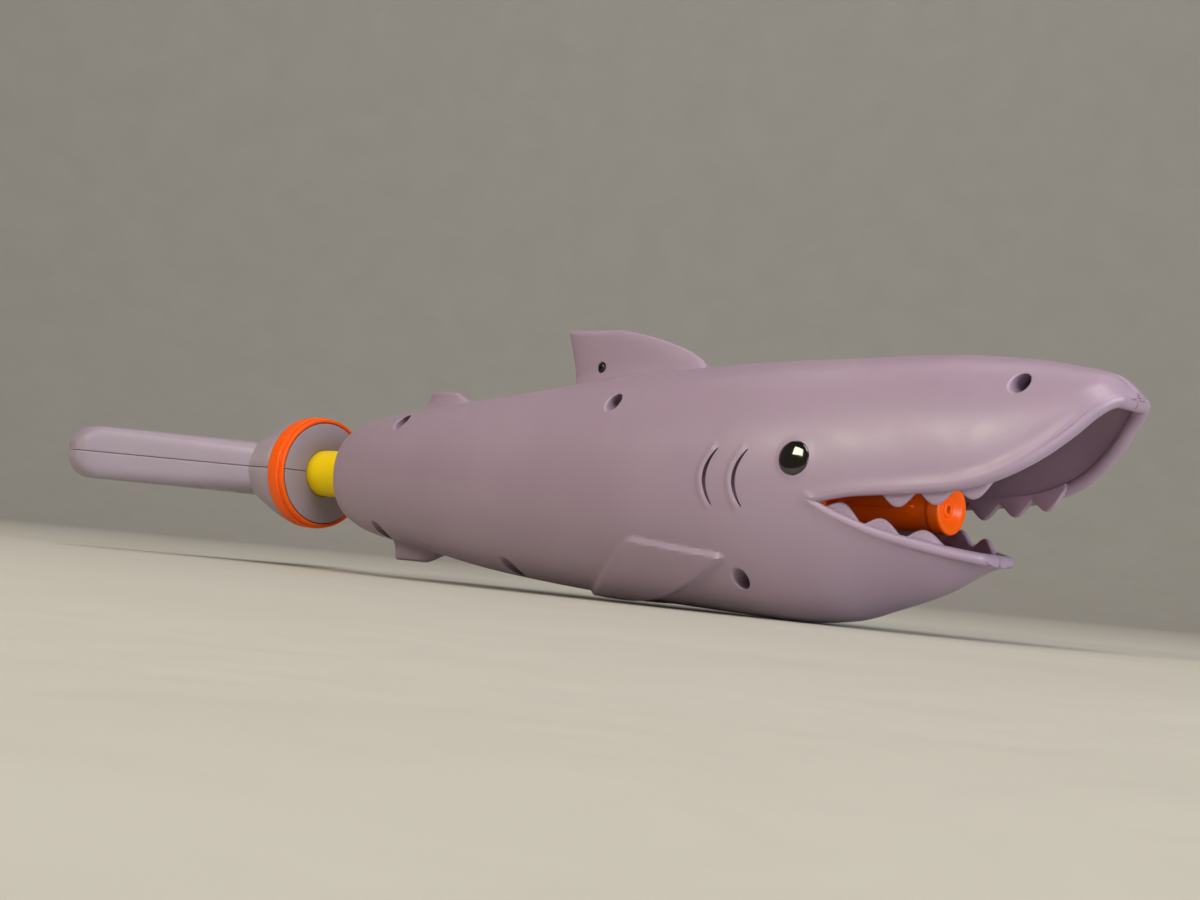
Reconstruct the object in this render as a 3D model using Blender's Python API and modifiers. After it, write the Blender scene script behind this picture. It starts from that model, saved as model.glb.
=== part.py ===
"""Shark water squirter: a hand pump inside a two-shell shark body, filled and emptied by its tail.

The pump's axis is the x axis of two frames. body_frame stands at the rear end of the body shells, and
plunger_frame at the front face of the tail, which rests pulled out of the body by PULLED_OUT.
+X points to the nose, +Y to the shark's left and +Z up. All sizes are in metres.
"""
import math

import bmesh
import bpy
from mathutils import Matrix, Vector

MM = 0.001

# Gap between neighbouring pieces
FIT = 0.3 * MM

# Body shells
BODY_LENGTH = 337 * MM
BACK_HEIGHT = 48.4 * MM
BELLY_DEPTH = 39.5 * MM
BODY_HALF_WIDTH = 35 * MM
NOSE_HEIGHT = 36 * MM
REAR_RADIUS = 19.8 * MM
REAR_EDGE = 1.6 * MM
SHELL_WALL = 2.4 * MM
SECTION_POWER = 2.15
JAW_POWER = 1.8

# Mouth, measured from the body's rear end
MOUTH_CORNER_X = 243.5 * MM
MOUTH_CORNER_Z = -1 * MM
JAW_TIP_X = 297 * MM
JAW_TIP_RISE = 1.1 * MM
LIP_RADIUS = 1.7 * MM
TOOTH_ROOT = 1.2 * MM
UPPER_TOOTH_HEIGHT = 4.4 * MM
LOWER_TOOTH_HEIGHT = 4 * MM
TOOTH_PITCH = 12.4 * MM
TOOTH_THICKNESS = 1.6 * MM
TOOTH_POWER = 0.8
TOOTH_SHOULDER = 0.8
TOOTH_SETBACK = 0.7
UPPER_TEETH_X = 273.5 * MM
LOWER_TEETH_X = 254.5 * MM
UPPER_TEETH = 3
LOWER_TEETH = 3

# Fins moulded on the body
DORSAL_FIN_X = 112 * MM
DORSAL_FIN_LENGTH = 64 * MM
DORSAL_FIN_HEIGHT = 21 * MM
REAR_FIN_X = 30 * MM
REAR_FIN_LENGTH = 34 * MM
REAR_FIN_HEIGHT = 8 * MM
ANAL_FIN_X = 20.5 * MM
ANAL_FIN_LENGTH = 34 * MM
ANAL_FIN_HEIGHT = 7.5 * MM
DORSAL_FIN_LEAN = 7.5 * MM
REAR_FIN_LEAN = 4 * MM
ANAL_FIN_LEAN = 0.5 * MM
DORSAL_FIN_TOP = 27.5 * MM
REAR_FIN_TOP = 13 * MM
ANAL_FIN_TOP = 17.5 * MM
FIN_HALF_THICKNESS = 4.2 * MM
FIN_ROOT = 3.4 * MM
FIN_TAPER = 0.45
FIN_EDGE_TAPER = 3
FIN_REAR_POWER = 1.5
DORSAL_FIN_POWER = 3.4
LOW_FIN_POWER = 2

# Raised side fins: rear low corner, top rear corner, front corner and bend of the lower edge
SIDE_FIN_REAR = (141 * MM, -39.3 * MM)
SIDE_FIN_TOP = (172.6 * MM, -16.6 * MM)
SIDE_FIN_FRONT = (212.5 * MM, -20.6 * MM)
SIDE_FIN_BEND = (187 * MM, -39.4 * MM)
SIDE_FIN_CORNER = 3.4 * MM
SIDE_FIN_RELIEF = 1.8 * MM

# Gills and eyes
GILL_X = (204.5 * MM, 216.3 * MM)
GILL_Z = 4.6 * MM
GILL_HEIGHT = 18.5 * MM
GILL_BULGE = 3.8 * MM
GILL_RADIUS = 0.9 * MM
EYE_X = 238 * MM
EYE_Z = 11.7 * MM
EYE_RADIUS = 5.4 * MM
EYE_DOME = 1.1 * MM
EYE_SINK = 1 * MM
EYE_PEG_RADIUS = 2.2 * MM
EYE_PEG_LENGTH = 6 * MM

# Body screws: distance from the rear end and height above the axis
BODY_SCREWS = (
    (38.4 * MM, 20.3 * MM),
    (27.1 * MM, -21.5 * MM),
    (102 * MM, -30.7 * MM),
    (216 * MM, -27.3 * MM),
    (154.2 * MM, 28.8 * MM),
)
NOSE_SCREW_INSET = 30.2 * MM
NOSE_SCREW_DEPTH = 8.8 * MM
FIN_SCREW_X = 125.2 * MM
FIN_SCREW_RISE = 5 * MM
POST_RADIUS = 4.4 * MM
SCREW_HEAD_RADIUS = 2.8 * MM
SCREW_HEAD_HEIGHT = 1.8 * MM
SCREW_SHANK_RADIUS = 1.3 * MM
BODY_SCREW_SEAT = 6 * MM
BODY_SCREW_REACH = 10 * MM
SCREW_END_GAP = 1 * MM
FIN_SCREW_SEAT = 1.9 * MM
FIN_SCREW_REACH = 2 * MM
FIN_SCREW_HEAD_HEIGHT = 1.2 * MM

# Pump
BARREL_BORE_RADIUS = 14 * MM
BARREL_WALL = 2 * MM
BARREL_FRONT_X = 230 * MM
COLLAR_X = 190 * MM
COLLAR_WIDTH = 2.5 * MM
COLLAR_HEIGHT = 3 * MM
RIB_WIDTH = 2.4 * MM
REAR_RIB_X = 22 * MM
MIDDLE_RIB_X = 108 * MM
GLAND_FLANGE = 2.3 * MM
GLAND_DEPTH = 6 * MM
ROD_RADIUS = 9.5 * MM
ROD_BORE_RADIUS = 7.5 * MM
PISTON_LENGTH = 14 * MM
PISTON_CLEARANCE = 0.5 * MM
PISTON_EDGE = 1 * MM
RING_CORD_RADIUS = 1.5 * MM
PISTON_SPIGOT = 14 * MM
STROKE_MARGIN = 4 * MM
PISTON_RING_INSET = 3.9 * MM

# Nozzle
NOZZLE_LENGTH = 44 * MM
NOZZLE_RADIUS = 7.5 * MM
NOZZLE_RIM = 0.5 * MM
NOZZLE_RIM_WIDTH = 4.5 * MM
NOZZLE_BORE_RADIUS = 5.3 * MM
NOZZLE_DISH_RADIUS = 5.8 * MM
NOZZLE_DISH_DEPTH = 2.2 * MM
NOZZLE_BOSS_RADIUS = 2.8 * MM
NOZZLE_BOSS_HEIGHT = 1.1 * MM
NOZZLE_FACE = 2 * MM
NOZZLE_EDGE = 0.8 * MM
NOZZLE_SHOULDER = 2 * MM
JET_RADIUS = 1 * MM
NOZZLE_FLANGE = 2.7 * MM
NOZZLE_PLUG = 8 * MM
NOZZLE_RIB_LENGTH = 34 * MM
NOZZLE_RIB_HEIGHT = 0.8 * MM
NOZZLE_RIB_WIDTH = 1.2 * MM

# Tail, measured back from its front face
PULLED_OUT = 29 * MM
RING_RADIUS = 23 * MM
RING_THICKNESS = 2 * MM
RING_WIDTH = 9 * MM
RING_LIP_WIDTH = 2 * MM
RING_GROOVE_WIDTH = 0.8 * MM
RING_GROOVE_DEPTH = 0.5 * MM
RING_EDGE = 0.5 * MM
HUB_LENGTH = 27 * MM
HUB_RADIUS = 22.8 * MM
TAIL_LENGTH = 82 * MM
TAIL_HALF_SPAN = 72 * MM
TAIL_HALF_THICKNESS = 11 * MM
TAIL_WALL = 2.4 * MM
FIN_START_X = 12 * MM
TAIL_FACE = 3 * MM
ROD_SOCKET = 20 * MM
ROD_COLLAR_X = 14 * MM
ROD_COLLAR_WIDTH = 3 * MM
ROD_COLLAR_HEIGHT = 2 * MM
SOCKET_WALL = 2 * MM
TAIL_SCREWS = (
    (34 * MM, 15 * MM),
    (34 * MM, -15 * MM),
    (61 * MM, 50 * MM),
    (61 * MM, -50 * MM),
)
TAIL_SCREW_SEAT = 5.5 * MM
TAIL_SCREW_REACH = 5 * MM

# Facets round each kind of piece, and sections along the body
BODY_STEPS = 20
NOSE_STEPS = 8
LIP_STEPS = 14
NOSE_START = 0.86
NOSE_FLAT = 0.05 * MM
BODY_SIDES = 32
VOID_SIDES = 20
TAIL_SIDES = 20
TURNED_SIDES = 28
RING_SIDES = 36
EYE_SIDES = 20
HOLE_SIDES = 12
SMALL_SIDES = 10

# Where the frames stand: the part is centred, and its belly touches the ground
BODY_X = (TAIL_LENGTH + PULLED_OUT - BODY_LENGTH) / 2
AXIS_Z = BELLY_DEPTH

# Sizes that follow
CLEAR = 2.5 * max(BACK_HEIGHT, BODY_HALF_WIDTH)
BARREL_RADIUS = BARREL_BORE_RADIUS + BARREL_WALL
GLAND_X = SHELL_WALL + FIT
BARREL_REAR_X = GLAND_X + GLAND_FLANGE + FIT
NOZZLE_FLANGE_X = BARREL_FRONT_X + FIT
NOZZLE_NECK_X = NOZZLE_FLANGE_X + NOZZLE_FLANGE
NOZZLE_TIP_X = NOZZLE_NECK_X + NOZZLE_LENGTH
PISTON_FRONT_X = BARREL_FRONT_X - NOZZLE_PLUG - PULLED_OUT - STROKE_MARGIN
PISTON_RADIUS = BARREL_BORE_RADIUS - PISTON_CLEARANCE
RING_RADIUS_IN = RING_RADIUS - RING_THICKNESS
SPIGOT_RADIUS = RING_RADIUS_IN - FIT


def smooth(points, x):
    """Value at x of the monotone cubic curve through (x, value) points."""
    xs = [p[0] for p in points]
    ys = [p[1] for p in points]
    slopes = [(ys[i + 1] - ys[i]) / (xs[i + 1] - xs[i]) for i in range(len(xs) - 1)]
    tangents = [slopes[0]]
    for before, after in zip(slopes, slopes[1:]):
        tangents.append(0 if before * after <= 0 else 2 * before * after / (before + after))
    tangents.append(slopes[-1])
    x = min(max(x, xs[0]), xs[-1])
    i = next(i for i in range(len(slopes)) if x <= xs[i + 1])
    width = xs[i + 1] - xs[i]
    t = (x - xs[i]) / width
    start = (1 + 2 * t) * (1 - t) ** 2 * ys[i] + t * (1 - t) ** 2 * width * tangents[i]
    end = t * t * (3 - 2 * t) * ys[i + 1] + t * t * (t - 1) * width * tangents[i + 1]
    return start + end


def along_body(start, shares, scale, end):
    """Profile points from the rear end's size, through shares of length and scale, to the nose."""
    inner = [(x * BODY_LENGTH, value * scale) for x, value in shares]
    return [(0, start)] + inner + [(BODY_LENGTH, end)]


BACK_LINE = along_body(REAR_RADIUS, (
    (0.032, 0.48), (0.12, 0.58), (0.262, 0.70), (0.43, 0.852), (0.59, 0.942), (0.72, 0.978),
    (0.815, 1), (0.891, 0.976), (0.95, 0.922), (0.976, 0.885), (0.992, 0.815)), BACK_HEIGHT, NOSE_HEIGHT)
BELLY_LINE = along_body(-REAR_RADIUS, (
    (0.032, -0.59), (0.12, -0.696), (0.262, -0.85), (0.43, -0.942), (0.59, -0.985), (0.662, -1),
    (0.718, -0.955), (0.768, -0.828), (0.815, -0.682), (0.856, -0.492), (0.884, -0.367),
    (0.95, 0.354), (0.985, 0.684)), BELLY_DEPTH, NOSE_HEIGHT)
WIDTH_LINE = along_body(REAR_RADIUS, (
    (0.012, 0.623), (0.032, 0.674), (0.068, 0.743), (0.135, 0.829), (0.256, 0.925), (0.374, 0.971),
    (0.512, 1), (0.615, 0.986), (0.70, 0.923), (0.812, 0.786), (0.915, 0.646), (0.95, 0.543),
    (0.979, 0.4), (0.992, 0.25)), BODY_HALF_WIDTH, 0)
WAIST_LINE = along_body(0, (
    (0.5, 0), (0.718, 0.056), (0.797, 0.139), (0.885, 0.25), (0.915, 0.361), (0.95, 0.611),
    (0.979, 0.889)), NOSE_HEIGHT, NOSE_HEIGHT)

JAW_POWER_LINE = along_body(SECTION_POWER, (
    (0.65, 1), (0.86, JAW_POWER / SECTION_POWER), (0.9, JAW_POWER / SECTION_POWER), (0.95, 1)),
    SECTION_POWER, SECTION_POWER)

MOUTH_LENGTH = BODY_LENGTH - MOUTH_CORNER_X
JAW_LENGTH = JAW_TIP_X - MOUTH_CORNER_X
UPPER_LIP_LINE = [(0, 0), (0.16, 0.09), (0.35, 0.14), (0.52, 0.195), (0.61, 0.255), (0.7, 0.355),
                  (0.78, 0.485), (0.86, 0.665), (0.93, 0.86), (0.97, 0.95), (1, 0.975)]
LOWER_LIP_LINE = [(0, 0), (0.1, 0.19), (0.25, 0.41), (0.45, 0.64), (0.65, 0.79), (0.85, 0.92), (1, 1)]


def edge_inset(x):
    """How far the rounded rear edge draws the section in."""
    if x >= REAR_EDGE:
        return 0
    return REAR_EDGE - math.sqrt(REAR_EDGE ** 2 - (REAR_EDGE - x) ** 2)


def lip_height(x, upper):
    """Height of the mouth's edge at x."""
    if upper:
        share = smooth(UPPER_LIP_LINE, (x - MOUTH_CORNER_X) / MOUTH_LENGTH)
        return MOUTH_CORNER_Z + share * (NOSE_HEIGHT - MOUTH_CORNER_Z)
    share = smooth(LOWER_LIP_LINE, (x - MOUTH_CORNER_X) / JAW_LENGTH)
    return MOUTH_CORNER_Z + share * (smooth(BELLY_LINE, JAW_TIP_X) + JAW_TIP_RISE - MOUTH_CORNER_Z)


def steepness(line, x):
    """Length of the line at x for each unit along the body."""
    step = 1 * MM
    rise = smooth(line, x + step) - smooth(line, x - step)
    return math.hypot(1, rise / (2 * step))


def section_sizes(x, inset=0):
    """Waist height, height above it, depth below it and half width of the body's section at x."""
    waist = smooth(WAIST_LINE, x)
    top = smooth(BACK_LINE, x) - edge_inset(x) - inset * steepness(BACK_LINE, x)
    bottom = smooth(BELLY_LINE, x) + edge_inset(x) + inset * steepness(BELLY_LINE, x)
    width = smooth(WIDTH_LINE, x) - edge_inset(x) - inset * steepness(WIDTH_LINE, x)
    return waist, top - waist, waist - bottom, width


def section_power(x, above):
    """Exponent of the section's curve above or below the waist: 2 is an ellipse, and 1 a wedge."""
    return SECTION_POWER if above else smooth(JAW_POWER_LINE, x)


def body_ring(x, sides, inset=0):
    """Points round the body's section at x."""
    waist, above, below, width = section_sizes(x, inset)
    ring = []
    for i in range(sides):
        angle = 2 * math.pi * i / sides
        c, s = math.cos(angle), math.sin(angle)
        power = 2 / section_power(x, s > 0)
        y = width * math.copysign(abs(c) ** power, c)
        z = (above if s > 0 else below) * math.copysign(abs(s) ** power, s)
        ring.append(Vector((x, y, waist + z)))
    return ring


def surface_y(x, z, inset=0):
    """Half width of the body's surface at x and height z."""
    waist, above, below, width = section_sizes(x, inset)
    reach = above if z > waist else below
    share = min(abs(z - waist) / max(reach, FIT), 1)
    power = section_power(x, z > waist)
    return max(width, 0) * (1 - share ** power) ** (1 / power)


def surface_normal(x, z):
    """Outward unit normal of the shark's left side at x and height z."""
    step = 0.5 * MM
    slope_x = (surface_y(x + step, z) - surface_y(x - step, z)) / (2 * step)
    slope_z = (surface_y(x, z + step) - surface_y(x, z - step)) / (2 * step)
    return Vector((-slope_x, 1, -slope_z)).normalized()


def material(name, color, roughness, metallic=0):
    """Principled material of one colour."""
    made = bpy.data.materials.new(name)
    made.use_nodes = True
    shader = made.node_tree.nodes["Principled BSDF"]
    shader.inputs["Base Color"].default_value = (*color, 1)
    shader.inputs["Roughness"].default_value = roughness
    shader.inputs["Metallic"].default_value = metallic
    made.diffuse_color = (*color, 1)
    return made


def object_from(bm, name, turn_out=True):
    """Object in the work collection made from a bmesh. turn_out makes each shell's faces point out."""
    bmesh.ops.remove_doubles(bm, verts=bm.verts, dist=1e-7)
    if turn_out:
        bmesh.ops.recalc_face_normals(bm, faces=bm.faces)
    mesh = bpy.data.meshes.new(name)
    bm.to_mesh(mesh)
    bm.free()
    made = bpy.data.objects.new(name, mesh)
    WORK.objects.link(made)
    return made


def drop_doubled_faces(bm):
    """Removes pairs of faces on the same vertices, the zero-thickness scraps that a Boolean can leave."""
    seen = {}
    for face in bm.faces:
        seen.setdefault(frozenset(v.index for v in face.verts), []).append(face)
    scraps = [face for faces in seen.values() if len(faces) > 1 for face in faces]
    bmesh.ops.delete(bm, geom=scraps, context="FACES")


def baked(made, turn_out=True):
    """The object with its modifiers or its curve turned into a mesh."""
    bpy.context.view_layer.update()
    mesh = bpy.data.meshes.new_from_object(made.evaluated_get(bpy.context.evaluated_depsgraph_get()))
    bm = bmesh.new()
    bm.from_mesh(mesh)
    bm.transform(made.matrix_world)
    drop_doubled_faces(bm)
    name = made.name
    bpy.data.objects.remove(made)
    bpy.data.meshes.remove(mesh)
    return object_from(bm, name, turn_out)


def boolean(target, tools, operation):
    """The target after a Boolean with each tool in turn, which may leave a hollow. Uses the tools up.

    The EXACT solver loses whole bodies where the thin halves are cut, and MANIFOLD keeps them.
    """
    for tool in tools:
        modifier = target.modifiers.new(tool.name, "BOOLEAN")
        modifier.solver = "MANIFOLD"
        modifier.operation = operation
        modifier.object = tool
        target = baked(target, turn_out=False)
        bpy.data.objects.remove(tool)
    return target


def copy_of(source, name):
    """A second object with its own mesh."""
    made = bpy.data.objects.new(name, source.data.copy())
    made.matrix_world = source.matrix_world
    WORK.objects.link(made)
    return made


def loft(name, rings):
    """Closed body through rings of equal count, with flat ends."""
    bm = bmesh.new()
    made = [[bm.verts.new(point) for point in ring] for ring in rings]
    for ring, after in zip(made, made[1:]):
        for i in range(len(ring)):
            j = (i + 1) % len(ring)
            bm.faces.new((ring[i], ring[j], after[j], after[i]))
    bm.faces.new(made[0])
    bm.faces.new(made[-1])
    return object_from(bm, name)


def turned(name, profile, sides=TURNED_SIDES, ring=False):
    """Body turned about the x axis from (x, radius) points. A ring's profile is a closed loop."""
    bm = bmesh.new()
    verts = [bm.verts.new((x, 0, radius)) for x, radius in profile]
    for a, b in zip(verts, verts[1:]):
        bm.edges.new((a, b))
    if ring:
        bm.edges.new((verts[-1], verts[0]))
    mesh = bpy.data.meshes.new(name)
    bm.to_mesh(mesh)
    bm.free()
    made = bpy.data.objects.new(name, mesh)
    WORK.objects.link(made)
    screw = made.modifiers.new("Turn", "SCREW")
    screw.axis = "X"
    screw.steps = sides
    screw.render_steps = sides
    screw.use_merge_vertices = True
    screw.merge_threshold = 1e-6
    return baked(made)


def rod_between(name, start, end, radius, sides=16):
    """Closed cylinder from start to end."""
    start, end = Vector(start), Vector(end)
    turn = (end - start).to_track_quat("Z", "Y").to_matrix().to_4x4()
    place = Matrix.Translation((start + end) / 2) @ turn
    bm = bmesh.new()
    bmesh.ops.create_cone(bm, cap_ends=True, segments=sides, radius1=radius, radius2=radius,
                          depth=(end - start).length, matrix=place)
    return object_from(bm, name)


def block(name, low, high):
    """Box between two corners."""
    low, high = Vector(low), Vector(high)
    size = Matrix.Diagonal((*(high - low), 1))
    bm = bmesh.new()
    bmesh.ops.create_cube(bm, size=1, matrix=Matrix.Translation((low + high) / 2) @ size)
    return object_from(bm, name)


def side_plate(name, outline, near_y, far_y):
    """Flat outline of (x, z) points, thick from near_y to far_y."""
    curve = bpy.data.curves.new(name, "CURVE")
    curve.dimensions = "2D"
    curve.fill_mode = "BOTH"
    curve.extrude = (far_y - near_y) / 2
    spline = curve.splines.new("POLY")
    spline.points.add(len(outline) - 1)
    spline.use_cyclic_u = True
    for point, (x, z) in zip(spline.points, outline):
        point.co = (x, z, 0, 1)
    made = bpy.data.objects.new(name, curve)
    made.rotation_euler = (math.pi / 2, 0, 0)
    made.location = (0, (near_y + far_y) / 2, 0)
    WORK.objects.link(made)
    return baked(made)


def tube(name, points, radius, resolution=2):
    """Round tube along the points, with closed ends."""
    curve = bpy.data.curves.new(name, "CURVE")
    curve.dimensions = "3D"
    curve.bevel_depth = radius
    curve.bevel_resolution = resolution
    curve.use_fill_caps = True
    spline = curve.splines.new("POLY")
    spline.points.add(len(points) - 1)
    for made_point, point in zip(spline.points, points):
        made_point.co = (*point, 1)
    made = bpy.data.objects.new(name, curve)
    WORK.objects.link(made)
    return baked(made)


def body_stations():
    """Distances from the rear end at which the body's sections are drawn."""
    rear = [0, REAR_EDGE * 0.3, REAR_EDGE]
    run = BODY_LENGTH * NOSE_START - REAR_EDGE
    middle = [REAR_EDGE + run * (i + 1) / BODY_STEPS for i in range(BODY_STEPS)]
    nose = BODY_LENGTH - middle[-1]
    front = [middle[-1] + nose * math.sin(math.pi / 2 * (i + 1) / NOSE_STEPS) for i in range(NOSE_STEPS)]
    front[-1] = BODY_LENGTH - NOSE_FLAT
    return rear + middle + front


def body_solid():
    """The body's outer form, closed."""
    return loft("body_form", [body_ring(x, BODY_SIDES) for x in body_stations()])


def body_void():
    """The hollow inside the body's wall, before ribs and posts."""
    nose = BODY_LENGTH * NOSE_START
    stations = [x for x in body_stations() if x > 4 * SHELL_WALL]
    stations = [SHELL_WALL] + [x for x in stations if x < nose][::2] + [x for x in stations if x >= nose]
    inside = [x for x in stations if min(section_sizes(x, SHELL_WALL)[1:]) > SHELL_WALL / 2]
    return loft("body_void", [body_ring(x, VOID_SIDES, SHELL_WALL) for x in inside])


def fin(name, rear_x, length, top, line, height, side, rear_lean, front_power, levels, sides):
    """Fin rooted in the body's line and tapering away from it. side is 1 for up and -1 for down.

    top is the length of its edge, and rear_lean is how far forward that edge's rear end lies.
    """
    rings = []
    base_z = smooth(line, rear_x) - side * FIN_ROOT
    height = height + FIN_ROOT
    front_lean = length - top - rear_lean
    for level in range(levels):
        share = math.sin(math.pi / 2 * level / (levels - 1))
        rear = rear_x + rear_lean * share ** FIN_REAR_POWER
        front = rear_x + length - front_lean * share ** front_power
        half = FIN_HALF_THICKNESS * (1 - FIN_TAPER * share)
        if level == levels - 1:
            half = half / FIN_EDGE_TAPER
        ring = []
        for i in range(sides):
            angle = 2 * math.pi * i / sides
            c, s = math.cos(angle), math.sin(angle)
            x = (rear + front) / 2 + (front - rear) / 2 * math.copysign(abs(c) ** 0.8, c)
            ring.append((x, half * math.copysign(abs(s) ** 0.6, s), base_z + side * height * share))
        rings.append(ring)
    return loft(name, rings)


def body_fins():
    """Dorsal fin, second dorsal fin and anal fin."""
    return [
        fin("dorsal_fin", DORSAL_FIN_X, DORSAL_FIN_LENGTH, DORSAL_FIN_TOP, BACK_LINE,
            DORSAL_FIN_HEIGHT, 1, -DORSAL_FIN_LEAN, DORSAL_FIN_POWER, 8, 14),
        fin("rear_fin", REAR_FIN_X, REAR_FIN_LENGTH, REAR_FIN_TOP, BACK_LINE,
            REAR_FIN_HEIGHT, 1, REAR_FIN_LEAN, LOW_FIN_POWER, 5, 12),
        fin("anal_fin", ANAL_FIN_X, ANAL_FIN_LENGTH, ANAL_FIN_TOP, BELLY_LINE,
            ANAL_FIN_HEIGHT, -1, ANAL_FIN_LEAN, LOW_FIN_POWER, 5, 12),
    ]


def bow(start, bend, end, t):
    """Point at share t of the curve that leaves start and reaches end towards bend."""
    return start * (1 - t) ** 2 + bend * 2 * t * (1 - t) + end * t * t


def side_fin_outline():
    """Outline of the raised side fin: two straight edges, a curved lower edge and round corners."""
    rear, top, front, bend = [Vector(p) for p in (SIDE_FIN_REAR, SIDE_FIN_TOP, SIDE_FIN_FRONT, SIDE_FIN_BEND)]
    points = []
    for before, at, after in ((bend, front, top), (front, top, rear), (top, rear, bend)):
        enter = at + (before - at).normalized() * SIDE_FIN_CORNER
        leave = at + (after - at).normalized() * SIDE_FIN_CORNER
        points += [bow(enter, at, leave, i / 3) for i in range(4)]
    start, end = points[-1], points[0]
    return points + [bow(start, bend, end, i / 8) for i in range(1, 8)]


def side_fin(side):
    """The raised fin of one side, as a slice of a slightly swollen body."""
    near, far = sorted((side * SHELL_WALL, side * CLEAR))
    first = SIDE_FIN_REAR[0] - SIDE_FIN_CORNER
    run = SIDE_FIN_FRONT[0] + SIDE_FIN_CORNER - first
    rings = [body_ring(first + run * i / 7, BODY_SIDES, -SIDE_FIN_RELIEF) for i in range(8)]
    slab = side_plate("side_fin", side_fin_outline(), near, far)
    return boolean(slab, [loft("side_fin_relief", rings)], "INTERSECT")


def mouth_gap():
    """The space between the jaws, open to the front and to both sides."""
    steps = 16
    upper = []
    for i in range(steps + 1):
        x = MOUTH_CORNER_X + MOUTH_LENGTH * math.sin(math.pi / 2 * i / steps)
        upper.append((x, lip_height(x, True)))
    lower = []
    for i in range(1, steps + 1):
        x = MOUTH_CORNER_X + JAW_LENGTH * i / steps
        lower.append((x, lip_height(x, False)))
    ahead = BODY_LENGTH + CLEAR
    corner = [(ahead, upper[-1][1]), (ahead, -CLEAR), (JAW_TIP_X + FIT, -CLEAR)]
    return side_plate("mouth_gap", upper + corner + lower[::-1], -CLEAR, CLEAR)


def lip_point(x, upper, side, depth):
    """Point of the mouth's edge at x, at a depth below the outer surface."""
    z = lip_height(x, upper)
    return Vector((x, side * max(surface_y(x, z) - depth, 0), z))


def lip_path(upper):
    """Path along one jaw's edge from corner to corner, in the middle of the wall."""
    depth = SHELL_WALL / 2
    steps = LIP_STEPS
    length = (MOUTH_LENGTH if upper else JAW_LENGTH) - depth
    right = []
    for i in range(steps):
        share = i / steps
        x = MOUTH_CORNER_X + length * (math.sin(math.pi / 2 * share) if upper else share)
        right.append(lip_point(x, upper, -1, depth))
    x = MOUTH_CORNER_X + length
    middle = Vector((x, 0, lip_height(x, upper)))
    return right + [middle] + [Vector((p.x, -p.y, p.z)) for p in right[::-1]]


def tooth_strip(name, upper, side, first, count):
    """Thin toothed sheet behind the lip."""
    rings = []
    samples = 6
    height = UPPER_TOOTH_HEIGHT if upper else LOWER_TOOTH_HEIGHT
    out = Vector((0, 0, -1 if upper else 1))
    half = TOOTH_THICKNESS / 2
    depth = SHELL_WALL + half * TOOTH_SETBACK
    step = TOOTH_PITCH / samples
    for i in range(samples * count + 1):
        x = first + step * (i - samples / 2)
        at = lip_point(x, upper, side, depth)
        ahead = lip_point(x + step, upper, side, depth) - lip_point(x - step, upper, side, depth)
        across = Vector((-ahead.y, ahead.x, 0)).normalized() * half
        tooth = (0.5 - 0.5 * math.cos(2 * math.pi * i / samples)) ** TOOTH_POWER
        rise = out * (TOOTH_THICKNESS / 2 + height * tooth)
        root = out * -TOOTH_ROOT
        rings.append([at + across + root, at + across + rise * TOOTH_SHOULDER, at + rise,
                      at - across + rise * TOOTH_SHOULDER, at - across + root])
    return loft(name, rings)


def gill_cutters(side):
    """Curved grooves behind one eye."""
    made = []
    for number, gill_x in enumerate(GILL_X):
        points = []
        for i in range(7):
            share = i / 3 - 1
            x = gill_x + GILL_BULGE * share ** 2
            z = GILL_Z - GILL_HEIGHT / 2 * share
            points.append(Vector((x, side * surface_y(x, z), z)))
        made.append(tube(f"gill_{number}", points, GILL_RADIUS, resolution=1))
    return made


def eye_place(side):
    """Matrix that carries +Z onto the outward normal at the eye, with the origin on the surface."""
    normal = surface_normal(EYE_X, EYE_Z)
    normal.y *= side
    at = Vector((EYE_X, side * surface_y(EYE_X, EYE_Z), EYE_Z))
    return Matrix.Translation(at) @ normal.to_track_quat("Z", "Y").to_matrix().to_4x4()


def eye_cutters(side):
    """Recess and peg hole of one eye."""
    place = eye_place(side)
    seat = place @ Vector((0, 0, -EYE_SINK - FIT))
    front = place @ Vector((0, 0, EYE_RADIUS))
    inside = place @ Vector((0, 0, -EYE_PEG_LENGTH - EYE_RADIUS))
    return [rod_between("eye_recess", seat, front, EYE_RADIUS + FIT, EYE_SIDES),
            rod_between("eye_hole", inside, place @ Vector((0, 0, 0)), EYE_PEG_RADIUS + FIT, HOLE_SIDES)]


def barrel_ribs():
    """Walls across the body that carry the barrel, with its bore."""
    collar_ribs = (COLLAR_X - FIT - RIB_WIDTH, COLLAR_X + COLLAR_WIDTH + FIT)
    made = []
    for x in (REAR_RIB_X, MIDDLE_RIB_X, *collar_ribs):
        bore = BARREL_RADIUS + FIT
        profile = [(x, bore), (x, CLEAR), (x + RIB_WIDTH, CLEAR), (x + RIB_WIDTH, bore)]
        made.append(turned(f"rib_{x:.3f}", profile, ring=True))
    return made


def post_screws():
    """Distance from the rear end and height of each screw that sits in a post. The last is in the nose."""
    nose_x = BODY_LENGTH - NOSE_SCREW_INSET
    return [*BODY_SCREWS, (nose_x, smooth(BACK_LINE, nose_x) - NOSE_SCREW_DEPTH)]


def fin_screw():
    """Distance from the rear end and height of the screw in the dorsal fin's foot."""
    return FIN_SCREW_X, smooth(BACK_LINE, FIN_SCREW_X) + FIN_SCREW_RISE


def body_posts():
    """Screw posts from wall to wall."""
    return [rod_between(f"post_{i}", (x, -CLEAR, z), (x, CLEAR, z), POST_RADIUS, HOLE_SIDES)
            for i, (x, z) in enumerate(post_screws())]


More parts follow.
